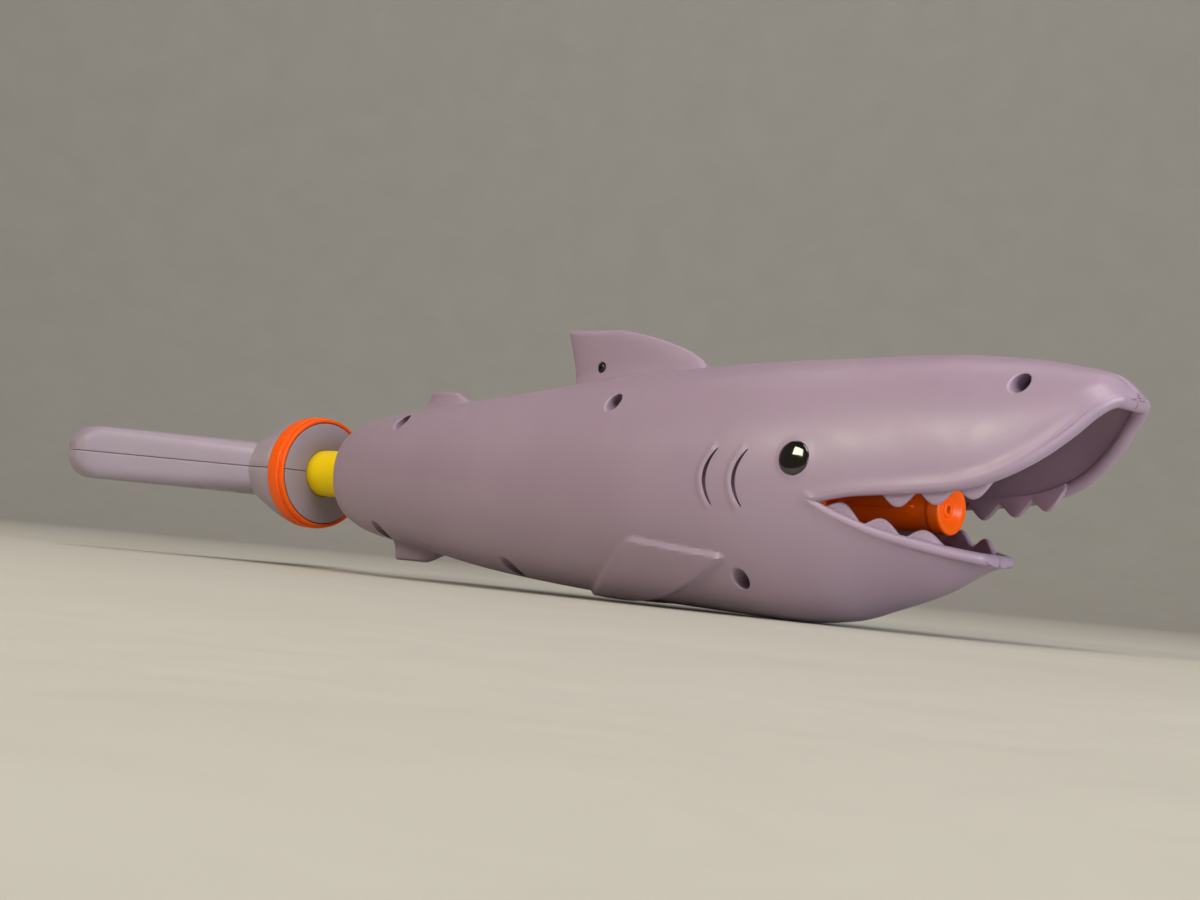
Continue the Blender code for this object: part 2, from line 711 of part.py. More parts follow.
def screw_cutters(name, seat, tip, out):
    """Counterbore outwards from a screw head's seat, and hole from the seat to past the tip."""
    seat, tip, out = Vector(seat), Vector(tip), Vector(out)
    beyond = tip + (tip - seat).normalized() * SCREW_END_GAP
    return [rod_between(name + "_counterbore", seat + out * CLEAR, seat, SCREW_HEAD_RADIUS + FIT, HOLE_SIDES),
            rod_between(name + "_hole", seat + out * FIT, beyond, SCREW_SHANK_RADIUS + FIT, SMALL_SIDES)]


def body_screw_cutters():
    """Counterbores from the right side, clearance holes and pilot holes."""
    made = []
    screws = [(x, z, BODY_SCREW_SEAT, BODY_SCREW_REACH) for x, z in post_screws()]
    screws.append((*fin_screw(), FIN_SCREW_SEAT, FIN_SCREW_REACH))
    for i, (x, z, seat, reach) in enumerate(screws):
        made += screw_cutters(f"body_{i}", (x, -seat, z), (x, reach, z), (0, -1, 0))
    return made


def body_shells():
    """The two body shells, which meet at the middle plane."""
    for name, side in (("shell_right", -1), ("shell_left", 1)):
        low, high = sorted((side * FIT / 2, -side * CLEAR))
        form = boolean(body_solid(), body_fins() + [side_fin(side)], "UNION")
        other_half = block("other_half", (-CLEAR, low, -CLEAR), (BODY_LENGTH + CLEAR, high, CLEAR))
        void = boolean(body_void(), barrel_ribs() + body_posts(), "DIFFERENCE")
        rod_hole = rod_between("rod_hole", (-SHELL_WALL, 0, 0), (2 * SHELL_WALL, 0, 0), ROD_RADIUS + 2 * FIT,
                               TURNED_SIDES)
        form = boolean(form, [void, mouth_gap(), rod_hole], "DIFFERENCE")
        edges = [tube("upper_lip", lip_path(True), LIP_RADIUS, resolution=1),
                 tube("lower_lip", lip_path(False), LIP_RADIUS, resolution=1),
                 tooth_strip("upper_teeth", True, side, UPPER_TEETH_X, UPPER_TEETH),
                 tooth_strip("lower_teeth", False, side, LOWER_TEETH_X, LOWER_TEETH)]
        form = boolean(form, edges, "UNION")
        cutters = gill_cutters(side) + eye_cutters(side) + body_screw_cutters() + [other_half]
        form = boolean(form, cutters, "DIFFERENCE")
        finish(form, name, "purple", BODY_FRAME)


def eyes():
    """Domed eye inserts with a peg through the shell's wall."""
    profile = [(-EYE_PEG_LENGTH, 0), (-EYE_PEG_LENGTH, EYE_PEG_RADIUS), (-EYE_SINK, EYE_PEG_RADIUS),
               (-EYE_SINK, EYE_RADIUS)]
    steps = 4
    for i in range(steps + 1):
        angle = math.pi / 2 * i / steps
        height = EYE_DOME * math.sin(angle)
        profile.append((height, EYE_RADIUS * math.cos(angle)))
    for name, side in (("eye_right", -1), ("eye_left", 1)):
        eye = turned(name, profile, EYE_SIDES)
        place = eye_place(side) @ Matrix.Rotation(-math.pi / 2, 4, "Y")
        finish(eye, name, "black", BODY_FRAME, place)


def screw_profile(reach, head_height):
    """Pan-headed screw along x: its head's underside is at 0 and its tip at reach."""
    radius = SCREW_SHANK_RADIUS
    return [(-head_height, 0), (-head_height, SCREW_HEAD_RADIUS * 0.75),
            (-head_height * 0.6, SCREW_HEAD_RADIUS), (0, SCREW_HEAD_RADIUS), (0, radius),
            (reach - radius, radius), (reach, 0)]


def body_screws():
    """Screws that hold the shells together, from the right side."""
    screws = [(x, z, BODY_SCREW_SEAT, BODY_SCREW_REACH, SCREW_HEAD_HEIGHT) for x, z in post_screws()]
    screws.append((*fin_screw(), FIN_SCREW_SEAT, FIN_SCREW_REACH, FIN_SCREW_HEAD_HEIGHT))
    turn = Matrix.Rotation(math.pi / 2, 4, "Z")
    for i, (x, z, seat, reach, head) in enumerate(screws):
        screw = turned("screw", screw_profile(seat + reach, head), SMALL_SIDES)
        place = Matrix.Translation((x, -seat - FIT, z)) @ turn
        finish(screw, f"body_screw_{i + 1}", "steel", BODY_FRAME, place)


def barrel():
    """Pump cylinder with a collar that sits between two ribs."""
    collar = BARREL_RADIUS + COLLAR_HEIGHT
    profile = [(BARREL_REAR_X, BARREL_BORE_RADIUS), (BARREL_REAR_X, BARREL_RADIUS),
               (COLLAR_X, BARREL_RADIUS), (COLLAR_X, collar), (COLLAR_X + COLLAR_WIDTH, collar),
               (COLLAR_X + COLLAR_WIDTH, BARREL_RADIUS), (BARREL_FRONT_X, BARREL_RADIUS),
               (BARREL_FRONT_X, BARREL_BORE_RADIUS)]
    finish(turned("barrel", profile, ring=True), "barrel", "orange", BODY_FRAME)


def gland():
    """Cap in the barrel's rear end that guides the rod."""
    bore = ROD_RADIUS + FIT
    plug = BARREL_BORE_RADIUS - FIT
    flange_front = GLAND_X + GLAND_FLANGE
    front = flange_front + GLAND_DEPTH
    profile = [(GLAND_X, bore), (GLAND_X, BARREL_RADIUS), (flange_front, BARREL_RADIUS),
               (flange_front, plug), (front, plug), (front, bore)]
    finish(turned("barrel_gland", profile, ring=True), "barrel_gland", "orange", BODY_FRAME)


def seal_ring(name, x, radius, parent):
    """Rubber ring of round section that nearly fills a bore of the given radius."""
    steps = 6
    middle = radius - FIT - RING_CORD_RADIUS
    profile = []
    for i in range(steps):
        angle = 2 * math.pi * (i + 0.5) / steps
        profile.append((x + RING_CORD_RADIUS * math.cos(angle), middle + RING_CORD_RADIUS * math.sin(angle)))
    finish(turned(name, profile, ring=True), name, "rubber", parent)


def groove(x, radius, outward):
    """Profile points of a seal's groove centred at x in a plug of the given radius."""
    half = RING_CORD_RADIUS + FIT
    floor = BARREL_BORE_RADIUS - 2 * RING_CORD_RADIUS - 2 * FIT
    return [(x - outward * half, radius), (x - outward * half, floor),
            (x + outward * half, floor), (x + outward * half, radius)]


def nozzle():
    """Spout that closes the barrel's front end, with a dished face round the jet hole."""
    plug = BARREL_BORE_RADIUS - FIT
    plug_x = NOZZLE_FLANGE_X - NOZZLE_PLUG
    tip = NOZZLE_TIP_X
    rim = NOZZLE_RADIUS + NOZZLE_RIM
    shoulder = NOZZLE_SHOULDER
    edge = NOZZLE_EDGE
    dish = tip - NOZZLE_DISH_DEPTH
    bore_front = dish - NOZZLE_FACE
    profile = [(plug_x, NOZZLE_BORE_RADIUS), (plug_x, plug)]
    profile += groove(NOZZLE_FLANGE_X - NOZZLE_PLUG / 2, plug, 1)
    profile += [(NOZZLE_FLANGE_X, plug), (NOZZLE_FLANGE_X, BARREL_RADIUS),
                (NOZZLE_NECK_X, BARREL_RADIUS), (NOZZLE_NECK_X, NOZZLE_RADIUS + shoulder),
                (NOZZLE_NECK_X + shoulder, NOZZLE_RADIUS),
                (tip - NOZZLE_RIM_WIDTH - NOZZLE_RIM, NOZZLE_RADIUS), (tip - NOZZLE_RIM_WIDTH, rim),
                (tip - edge, rim), (tip, rim - edge), (tip, NOZZLE_DISH_RADIUS),
                (dish, NOZZLE_BOSS_RADIUS), (dish + NOZZLE_BOSS_HEIGHT, NOZZLE_BOSS_RADIUS - FIT),
                (dish + NOZZLE_BOSS_HEIGHT, JET_RADIUS), (bore_front, JET_RADIUS),
                (bore_front - NOZZLE_FACE, NOZZLE_BORE_RADIUS)]
    spout = turned("nozzle", profile, ring=True)
    reach = NOZZLE_RADIUS + NOZZLE_RIB_HEIGHT
    half = NOZZLE_RIB_WIDTH / 2
    ribs = []
    for side in (-1, 1):
        inner, outer = sorted((side * (NOZZLE_RADIUS - NOZZLE_RIB_HEIGHT), side * reach))
        ribs.append(block(f"nozzle_rib_{side}", (NOZZLE_NECK_X - NOZZLE_FLANGE / 2, inner, -half),
                          (NOZZLE_NECK_X + NOZZLE_RIB_LENGTH, outer, half)))
    finish(boolean(spout, ribs, "UNION"), "nozzle", "orange", BODY_FRAME)
    seal_ring("nozzle_seal", NOZZLE_FLANGE_X - NOZZLE_PLUG / 2, BARREL_BORE_RADIUS, BODY_FRAME)


def piston():
    """Piston head on the rod's front end, with two sealing rings."""
    front = PISTON_FRONT_X + PULLED_OUT
    rear = front - PISTON_LENGTH
    spigot = ROD_BORE_RADIUS - FIT
    ring_x = (front - PISTON_RING_INSET, rear + PISTON_RING_INSET)
    profile = [(front, 0), (front, PISTON_RADIUS - PISTON_EDGE), (front - PISTON_EDGE, PISTON_RADIUS)]
    for x in ring_x:
        profile += groove(x, PISTON_RADIUS, -1)
    profile += [(rear, PISTON_RADIUS), (rear, spigot), (rear - PISTON_SPIGOT, spigot),
                (rear - PISTON_SPIGOT, 0)]
    finish(turned("piston_head", profile), "piston_head", "white", PLUNGER_FRAME)
    for name, x in zip(("piston_ring_front", "piston_ring_rear"), ring_x):
        seal_ring(name, x, BARREL_BORE_RADIUS, PLUNGER_FRAME)


def plunger_rod():
    """Tube from the tail's socket to the piston, with a collar that the tail halves grip."""
    front = PISTON_FRONT_X + PULLED_OUT - PISTON_LENGTH - FIT
    collar = ROD_RADIUS + ROD_COLLAR_HEIGHT
    collar_front = -ROD_COLLAR_X
    collar_rear = collar_front - ROD_COLLAR_WIDTH
    profile = [(-ROD_SOCKET, ROD_BORE_RADIUS), (-ROD_SOCKET, ROD_RADIUS), (collar_rear, ROD_RADIUS),
               (collar_rear, collar), (collar_front, collar), (collar_front, ROD_RADIUS),
               (front, ROD_RADIUS), (front, ROD_BORE_RADIUS)]
    finish(turned("plunger_rod", profile, ring=True), "plunger_rod", "yellow", PLUNGER_FRAME)


def tail_ring():
    """Coloured band round the hub, with a thin front lip and a groove behind it."""
    outer = RING_RADIUS
    edge = RING_EDGE
    lip = -RING_LIP_WIDTH
    band = lip - RING_GROOVE_WIDTH
    profile = [(0, RING_RADIUS_IN), (0, outer - 2 * edge), (-edge, outer - edge), (lip, outer - edge),
               (lip, outer - edge - RING_GROOVE_DEPTH), (band, outer - edge - RING_GROOVE_DEPTH),
               (band, outer - edge), (band - edge, outer), (-RING_WIDTH + edge, outer),
               (-RING_WIDTH, outer - edge), (-RING_WIDTH, RING_RADIUS_IN)]
    finish(turned("tail_ring", profile, RING_SIDES, ring=True), "tail_ring", "orange", PLUNGER_FRAME)


def tail_edges(y):
    """Leading edge, trailing edge and half thickness of the tail fin at y."""
    share = abs(y) / TAIL_HALF_SPAN
    leading = -smooth([(0, FIN_START_X), (0.17, 1.17 * FIN_START_X), (0.32, 0.27 * TAIL_LENGTH),
                       (0.9, 0.78 * TAIL_LENGTH), (0.97, 0.84 * TAIL_LENGTH), (1, 0.9 * TAIL_LENGTH)], share)
    trailing = -TAIL_LENGTH * smooth([(0, 0.707), (0.3, 0.744), (0.7, 0.89), (0.93, 1), (1, 0.976)], share)
    rounding = max(share - 0.88, 0) / 0.12
    half = TAIL_HALF_THICKNESS * math.sqrt(max(1 - 0.9 * rounding ** 2, 0))
    return leading, trailing, half


def tail_fin(name, inset, sides, steps):
    """The tail fin's form, lofted from tip to tip."""
    rings = []
    reach = TAIL_HALF_SPAN - inset * 3
    for i in range(2 * steps + 1):
        y = reach * math.sin(math.pi / 2 * (i - steps) / steps)
        leading, trailing, half = tail_edges(y)
        middle = (leading + trailing) / 2
        chord = (leading - trailing) / 2 - inset
        ring = []
        for k in range(sides):
            angle = 2 * math.pi * k / sides
            c, s = math.cos(angle), math.sin(angle)
            x = middle + chord * math.copysign(abs(c) ** 0.6, c)
            ring.append((x, y, (half - inset) * math.copysign(abs(s) ** 0.6, s)))
        rings.append(ring)
    return loft(name, rings)


def tail_hub():
    """Cup behind the ring that flattens into the fin. Its sections are (share of length, width, height)."""
    start = RING_WIDTH + FIT
    low = TAIL_HALF_THICKNESS - SHELL_WALL / 2
    rings = []
    for share, wide, high in ((0, 0.98, 1), (0.05, 1, 0.99), (0.22, 1, 0.87), (0.44, 1, 0.63),
                              (0.7, 0.96, 0.3), (1, 0.75, 0)):
        x = start + share * HUB_LENGTH
        height = low + high * (HUB_RADIUS * 0.985 - low)
        angles = [2 * math.pi * i / TURNED_SIDES for i in range(TURNED_SIDES)]
        rings.append([(-x, wide * HUB_RADIUS * math.cos(a), height * math.sin(a)) for a in angles])
    return loft("tail_hub", rings)


def tail_form():
    """The tail's outer form with its hollow, socket, posts and holes."""
    spigot_end = RING_WIDTH + FIT + TAIL_WALL
    spigot = turned("tail_spigot", [(0, 0), (0, SPIGOT_RADIUS), (-spigot_end, SPIGOT_RADIUS), (-spigot_end, 0)])
    form = boolean(tail_fin("tail_outside", 0, TAIL_SIDES, 9), [tail_hub(), spigot], "UNION")
    hollow_radius = SPIGOT_RADIUS - TAIL_WALL
    hollow_end = RING_WIDTH + 0.8 * HUB_LENGTH
    hub_hollow = turned("hub_hollow", [(-TAIL_FACE, 0), (-TAIL_FACE, hollow_radius),
                                       (-spigot_end, hollow_radius),
                                       (-hollow_end, TAIL_HALF_THICKNESS - 1.5 * TAIL_WALL),
                                       (-hollow_end, 0)], TAIL_SIDES)
    void = boolean(tail_fin("tail_void", TAIL_WALL, TAIL_SIDES - 4, 7), [hub_hollow], "UNION")
    front = TAIL_FACE
    socket_end = ROD_SOCKET + FIT
    collar_radius = ROD_RADIUS + ROD_COLLAR_HEIGHT + FIT
    socket = rod_between("socket", (front, 0, 0), (-socket_end - SOCKET_WALL, 0, 0),
                         collar_radius + SOCKET_WALL, TAIL_SIDES)
    height = 3 * TAIL_HALF_THICKNESS
    posts = [rod_between(f"tail_post_{i}", (-x, y, -height), (-x, y, height), POST_RADIUS, HOLE_SIDES)
             for i, (x, y) in enumerate(TAIL_SCREWS)]
    void = boolean(void, [socket] + posts, "DIFFERENCE")
    spaces = [
        rod_between("rod_space", (front, 0, 0), (-socket_end, 0, 0), ROD_RADIUS + FIT, TURNED_SIDES),
        rod_between("collar_space", (-ROD_COLLAR_X + FIT, 0, 0), (-ROD_COLLAR_X - ROD_COLLAR_WIDTH - FIT, 0, 0),
                    collar_radius, TURNED_SIDES),
    ]
    holes = []
    for i, (x, y) in enumerate(TAIL_SCREWS):
        holes += screw_cutters(f"tail_{i}", (-x, y, -TAIL_SCREW_SEAT), (-x, y, TAIL_SCREW_REACH), (0, 0, -1))
    return boolean(form, [void] + spaces + holes, "DIFFERENCE")


def tail_halves():
    """The two shells of the tail, parted at half their thickness."""
    upper = tail_form()
    lower = copy_of(upper, "tail_lower_form")
    above = block("above", (-CLEAR, -CLEAR, -FIT / 2), (CLEAR, CLEAR, CLEAR))
    below = block("below", (-CLEAR, -CLEAR, -CLEAR), (CLEAR, CLEAR, FIT / 2))
    finish(boolean(upper, [below], "DIFFERENCE"), "tail_half_upper", "purple", PLUNGER_FRAME)
    finish(boolean(lower, [above], "DIFFERENCE"), "tail_half_lower", "purple", PLUNGER_FRAME)


def tail_screws():
    """Screws that hold the tail's halves together, from below."""
    turn = Matrix.Rotation(-math.pi / 2, 4, "Y")
    for i, (x, y) in enumerate(TAIL_SCREWS):
        profile = screw_profile(TAIL_SCREW_SEAT + TAIL_SCREW_REACH, SCREW_HEAD_HEIGHT)
        screw = turned("screw", profile, SMALL_SIDES)
        place = Matrix.Translation((-x, y, -TAIL_SCREW_SEAT - FIT)) @ turn
        finish(screw, f"tail_screw_{i + 1}", "steel", PLUNGER_FRAME, place)


def frame_empty(name, location):
    """Empty on the pump's axis that carries pieces."""
    made = bpy.data.objects.new(name, None)
    made.location = location
    SHARK.objects.link(made)
    return made


def finish(made, name, material_name, parent, place=Matrix.Identity(4)):
    """Names the piece, gives it its material and puts it in its place under its frame."""
    made.name = name
    made.data.name = name
    made.data.materials.clear()
    made.data.materials.append(MATERIALS[material_name])
    made.data.shade_smooth()
    made.data.set_sharp_from_angle(angle=math.radians(35))
    WORK.objects.unlink(made)
    SHARK.objects.link(made)
    made.parent = parent
    made.matrix_local = place


for leftover in list(bpy.data.objects):
    bpy.data.objects.remove(leftover)
SHARK = bpy.data.collections.new("shark_water_squirter")
bpy.context.scene.collection.children.link(SHARK)
WORK = bpy.data.collections.new("work")
bpy.context.scene.collection.children.link(WORK)
MATERIALS = {
    "purple": material("purple plastic", (0.36, 0.24, 0.34), 0.45),
    "orange": material("orange plastic", (0.95, 0.16, 0.01), 0.35),
    "yellow": material("yellow plastic", (0.87, 0.68, 0.01), 0.4),
    "white": material("white plastic", (0.8, 0.8, 0.78), 0.4),
    "black": material("black plastic", (0.008, 0.008, 0.006), 0.08),
    "rubber": material("black rubber", (0.02, 0.02, 0.02), 0.7),
    "steel": material("blackened steel", (0.06, 0.06, 0.065), 0.4, 1.0),
}
BODY_FRAME = frame_empty("body_frame", (BODY_X, 0, AXIS_Z))
PLUNGER_FRAME = frame_empty("plunger_frame", (BODY_X - PULLED_OUT, 0, AXIS_Z))

body_shells()
eyes()
body_screws()
barrel()
gland()
nozzle()
piston()
plunger_rod()
tail_ring()
tail_halves()
tail_screws()
bpy.data.collections.remove(WORK)
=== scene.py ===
"""Looks of the shark water squirter: moulded skins, finishes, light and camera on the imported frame.

Shapes are drawn in two frames on the pump's axis: the body's, from the rear end of its shells, and the
tail's, from the front face of its ring. +X points to the nose, +Y to the shark's left and +Z up.
"""
import math

import bmesh
import bpy
import numpy as np
from mathutils import Matrix, Vector


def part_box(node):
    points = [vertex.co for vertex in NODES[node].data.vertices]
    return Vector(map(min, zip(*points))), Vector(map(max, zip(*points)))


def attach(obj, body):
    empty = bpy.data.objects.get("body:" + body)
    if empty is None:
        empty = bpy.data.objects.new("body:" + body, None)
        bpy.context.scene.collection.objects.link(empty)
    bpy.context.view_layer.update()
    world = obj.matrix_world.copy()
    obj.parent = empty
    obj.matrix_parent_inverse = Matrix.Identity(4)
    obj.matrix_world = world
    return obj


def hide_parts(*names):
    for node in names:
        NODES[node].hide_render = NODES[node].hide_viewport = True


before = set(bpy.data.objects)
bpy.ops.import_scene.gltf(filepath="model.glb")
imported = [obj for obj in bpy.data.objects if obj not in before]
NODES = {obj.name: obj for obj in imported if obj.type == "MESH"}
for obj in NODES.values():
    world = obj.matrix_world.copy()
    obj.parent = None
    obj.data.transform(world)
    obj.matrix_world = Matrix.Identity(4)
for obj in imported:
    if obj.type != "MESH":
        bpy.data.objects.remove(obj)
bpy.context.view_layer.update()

MM = 0.001
FIT = 0.3 * MM

# Places that come from the frame
REAR_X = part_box("shell_right")[0].x
AXIS_Z = sum(corner.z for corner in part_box("barrel")) / 2
TAIL_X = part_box("tail_ring")[1].x
NOZZLE_TIP_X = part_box("nozzle")[1].x - REAR_X
ROD_FRONT_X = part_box("plunger_rod")[1].x - TAIL_X
BODY_PLACE = Vector((REAR_X, 0, AXIS_Z))
TAIL_PLACE = Vector((TAIL_X, 0, AXIS_Z))

# Body shells
BODY_LENGTH = 337 * MM
BACK_HEIGHT = 48.4 * MM
BELLY_DEPTH = 39.5 * MM
BODY_HALF_WIDTH = 35 * MM
NOSE_HEIGHT = 36 * MM
REAR_RADIUS = 19.8 * MM
REAR_EDGE = 1.6 * MM
SHELL_WALL = 2.4 * MM
SECTION_POWER = 2.15
JAW_POWER = 1.8
SEAM_DEPTH = 0.3 * MM
SEAM_REACH = 0.8 * MM
NOSE_SEAM_DEPTH = 0.9 * MM
NOSE_SEAM_REACH = 2.4 * MM
NOSE_SEAM_START = 0.93

# Mouth
MOUTH_CORNER_X = 243.5 * MM
MOUTH_CORNER_Z = -1 * MM
JAW_TIP_X = 295.4 * MM
JAW_TIP_RISE = 1.1 * MM
UPPER_LIP_RADIUS = (1.45 * MM, 2.4 * MM)
LOWER_LIP_RADIUS = (1.5 * MM, 1.9 * MM)
LIP_REACH = 2.2 * MM
LIP_FADE = 4 * MM
LIP_BEND = 0.6
TOOTH_ROOT = 1.2 * MM
UPPER_TOOTH_HEIGHT = 4.4 * MM
LOWER_TOOTH_HEIGHT = 4 * MM
TOOTH_PITCH = 12.4 * MM
TOOTH_THICKNESS = 1.9 * MM
UPPER_TEETH_X = 273.5 * MM
LOWER_TEETH_X = 254.5 * MM
TOOTH_POWER = 0.65
TOOTH_SINK = 0.7
TOOTH_SAMPLES = 24
TEETH = 3

# Fins: rear end, length, length of the edge, height, how far forward the edge's rear end lies,
# the power of the front edge's bend, and 1 on the back or -1 on the belly
FINS = {
    "dorsal_fin": (112 * MM, 64 * MM, 27.5 * MM, 21 * MM, -7.5 * MM, 3.4, 1),
    "rear_fin": (30 * MM, 34 * MM, 13 * MM, 8 * MM, 4 * MM, 2, 1),
    "anal_fin": (20.5 * MM, 34 * MM, 17.5 * MM, 7.5 * MM, 0.5 * MM, 2, -1),
}
FIN_HALF_THICKNESS = 4.2 * MM
FIN_TAPER = 0.45
FIN_TIP_START = 0.9
FIN_REAR_POWER = 1.5
FIN_EDGE_POWER = 0.8
FIN_FACE_POWER = 0.6
FIN_ROOT = 3.4 * MM
FIN_FILLET = 2.6 * MM
FIN_FILLET_REACH = 0.6 * FIN_FILLET

# Raised side fins: distance from the rear end, and girth from the belly's middle line
SIDE_FIN_REAR = (133.5 * MM, 6 * MM)
SIDE_FIN_TOP = (171.5 * MM, 41 * MM)
SIDE_FIN_FRONT = (212.8 * MM, 37.6 * MM)
SIDE_FIN_BEND = (158 * MM, 2 * MM)
SIDE_FIN_CORNER = 3.4 * MM
SIDE_FIN_RELIEF = 1.7 * MM
SIDE_FIN_EDGE = 0.9 * MM

# Gills and eyes
GILL_X = (204.5 * MM, 216.3 * MM)
GILL_Z = 4.6 * MM
GILL_HEIGHT = 18.5 * MM
GILL_BULGE = 3.8 * MM
GILL_HALF_WIDTH = 0.8 * MM
GILL_DEPTH = 2.2 * MM
GILL_SLANT = 0.9
GILL_MOUTH = 1.6
GILL_FLOOR = 0.7
GILL_ENDS = 0.06
GILL_POWER = 0.6
GILL_STEPS = 24
GILL_RIDGE = 0.35 * MM
GILL_RIDGE_OFFSET = 2.1 * MM
GILL_RIDGE_REACH = 1 * MM
EYE_X = 238 * MM
EYE_Z = 11.7 * MM
EYE_RADIUS = 5.4 * MM
EYE_DOME = 1.1 * MM
EYE_SINK = 1 * MM
EYE_PEG_RADIUS = 2.2 * MM
EYE_PEG_LENGTH = 6 * MM
EYE_RIM = 0.3 * MM
EYE_RIM_REACH = 0.9 * MM

# Screws: distance from the rear end and height above the axis
BODY_SCREWS = (
    (38.4 * MM, 20.3 * MM),
    (27.1 * MM, -21.5 * MM),
    (102 * MM, -30.7 * MM),
    (216 * MM, -27.3 * MM),
    (154.2 * MM, 28.8 * MM),
)
NOSE_SCREW_INSET = 30.2 * MM
NOSE_SCREW_DEPTH = 8.8 * MM
FIN_SCREW_X = 125.2 * MM
FIN_SCREW_RISE = 5 * MM
POST_RADIUS = 4.4 * MM
HEAD_RADIUS = 2.8 * MM
HEAD_HEIGHT = 1.8 * MM
FIN_HEAD_HEIGHT = 1.2 * MM
FIN_HEAD_RADIUS = 1.7 * MM
SHANK_RADIUS = 1.3 * MM
BODY_SCREW_SEAT = 6 * MM
BODY_SCREW_REACH = 10 * MM
FIN_SCREW_SEAT = 1.9 * MM
FIN_SCREW_REACH = 2 * MM
SCREW_END_GAP = 1 * MM
HOLE_EDGE = 0.8 * MM

# Pump, rod and nozzle
BARREL_RADIUS = 16 * MM
RIB_WIDTH = 2.4 * MM
RIBS_X = (22 * MM, 108 * MM, 187.3 * MM, 192.8 * MM)
ROD_RADIUS = 9.5 * MM
ROD_BORE_RADIUS = 7.5 * MM
ROD_ROUNDING = 0.4 * MM
NOZZLE_LENGTH = 44 * MM
NOZZLE_FLANGE = 2.7 * MM
NOZZLE_PLUG = 8 * MM
PLUG_RADIUS = 13.7 * MM
PLUG_STEP = 2.7 * MM
NOZZLE_RADIUS = 7.5 * MM
NOZZLE_RIM = 0.5 * MM
NOZZLE_RIM_WIDTH = 4.5 * MM
NOZZLE_BORE_RADIUS = 5.3 * MM
NOZZLE_DISH_RADIUS = 5.8 * MM
NOZZLE_DISH_DEPTH = 2.2 * MM
NOZZLE_BOSS_RADIUS = 2.8 * MM
NOZZLE_BOSS_HEIGHT = 1.1 * MM
NOZZLE_FACE = 2 * MM
NOZZLE_SHOULDER = 2 * MM
NOZZLE_ROUNDING = 0.9 * MM
JET_RADIUS = 1 * MM
NOZZLE_RIB_LENGTH = 34 * MM
NOZZLE_RIB_HEIGHT = 0.8 * MM
NOZZLE_RIB_WIDTH = 1.2 * MM

# Tail
RING_RADIUS = 23 * MM
RING_THICKNESS = 2 * MM
RING_WIDTH = 9 * MM
RING_LIP_WIDTH = 2 * MM
RING_GROOVE_WIDTH = 0.8 * MM
RING_GROOVE_DEPTH = 0.5 * MM
RING_EDGE = 0.5 * MM
RING_ROUNDING = 0.7 * MM
HUB_LENGTH = 27 * MM
HUB_RADIUS = 22.8 * MM
TAIL_LENGTH = 82 * MM
TAIL_HALF_SPAN = 72 * MM
TAIL_HALF_THICKNESS = 11 * MM
TAIL_WALL = 2.4 * MM
TAIL_FACE = 3 * MM
TAIL_TIP_START = 0.88
TAIL_TIP_THINNING = 0.9
TAIL_EDGE_POWER = 0.6
FIN_START_X = 12 * MM
ROD_SOCKET = 20 * MM
ROD_COLLAR_X = 14 * MM
ROD_COLLAR_WIDTH = 3 * MM
ROD_COLLAR_HEIGHT = 2 * MM
SOCKET_WALL = 2 * MM
TAIL_SCREWS = [(x * MM, side * y * MM) for x, y in ((34, 15), (61, 50)) for side in (1, -1)]
TAIL_SCREW_SEAT = 5.5 * MM
TAIL_SCREW_REACH = 5 * MM

# Camera, from the front face of the tail's ring and the axis
CAMERA_PLACE = Vector((649.19, -527.35, -28.08)) * MM
CAMERA_FORWARD = Vector((-0.6831, 0.728, 0.0585))
CAMERA_UP = Vector((-0.0291, -0.1072, 0.9938))
CAMERA_LENS = 60
CAMERA_SENSOR = 36

# Stage, in metres
FLOOR_RADIUS = 2.2
WALL_RADIUS = 3.6
WALL_HEIGHT = 3.4

# Facets
FINE = 0.7 * MM
COARSE = 1.3 * MM
FINE_START = 136 * MM
FINE_END = 250 * MM
BODY_COLUMNS = 288
NOSE_START = 0.86
NOSE_ROWS = 56
VOID_COLUMNS = 96
VOID_NOSE_START = 0.95
VOID_END = 0.4 * MM
ROUND = 96
RING_SIDES = 160
HOLE_SIDES = 40
SHARP_ANGLE = 38
SCREW_SHARP_ANGLE = 30
CLEAR = 2.5 * BACK_HEIGHT


def smooth(points, x):
    """Value at x of the monotone cubic curve through (x, value) points. x may be an array."""
    xs, ys = np.array(points, float).T
    slopes = np.diff(ys) / np.diff(xs)
    before, after = slopes[:-1], slopes[1:]
    bent = before * after > 0
    inner = np.where(bent, 2 * before * after / np.where(bent, before + after, 1), 0)
    tangents = np.concatenate((slopes[:1], inner, slopes[-1:]))
    x = np.clip(x, xs[0], xs[-1])
    i = np.clip(np.searchsorted(xs, x) - 1, 0, len(slopes) - 1)
    width = xs[i + 1] - xs[i]
    t = (x - xs[i]) / width
    start = (1 + 2 * t) * (1 - t) ** 2 * ys[i] + t * (1 - t) ** 2 * width * tangents[i]
    end = t * t * (3 - 2 * t) * ys[i + 1] + t * t * (t - 1) * width * tangents[i + 1]
    return start + end


def ease(low, high, value):
    """0 below low, 1 above high and a smooth step between."""
    t = np.clip((value - low) / (high - low), 0, 1)
    return t * t * (3 - 2 * t)


def along_body(start, shares, scale, end):
    """Profile points from the rear end's size, through shares of length and scale, to the nose."""
    inner = [(x * BODY_LENGTH, value * scale) for x, value in shares]
    return [(0, start)] + inner + [(BODY_LENGTH, end)]


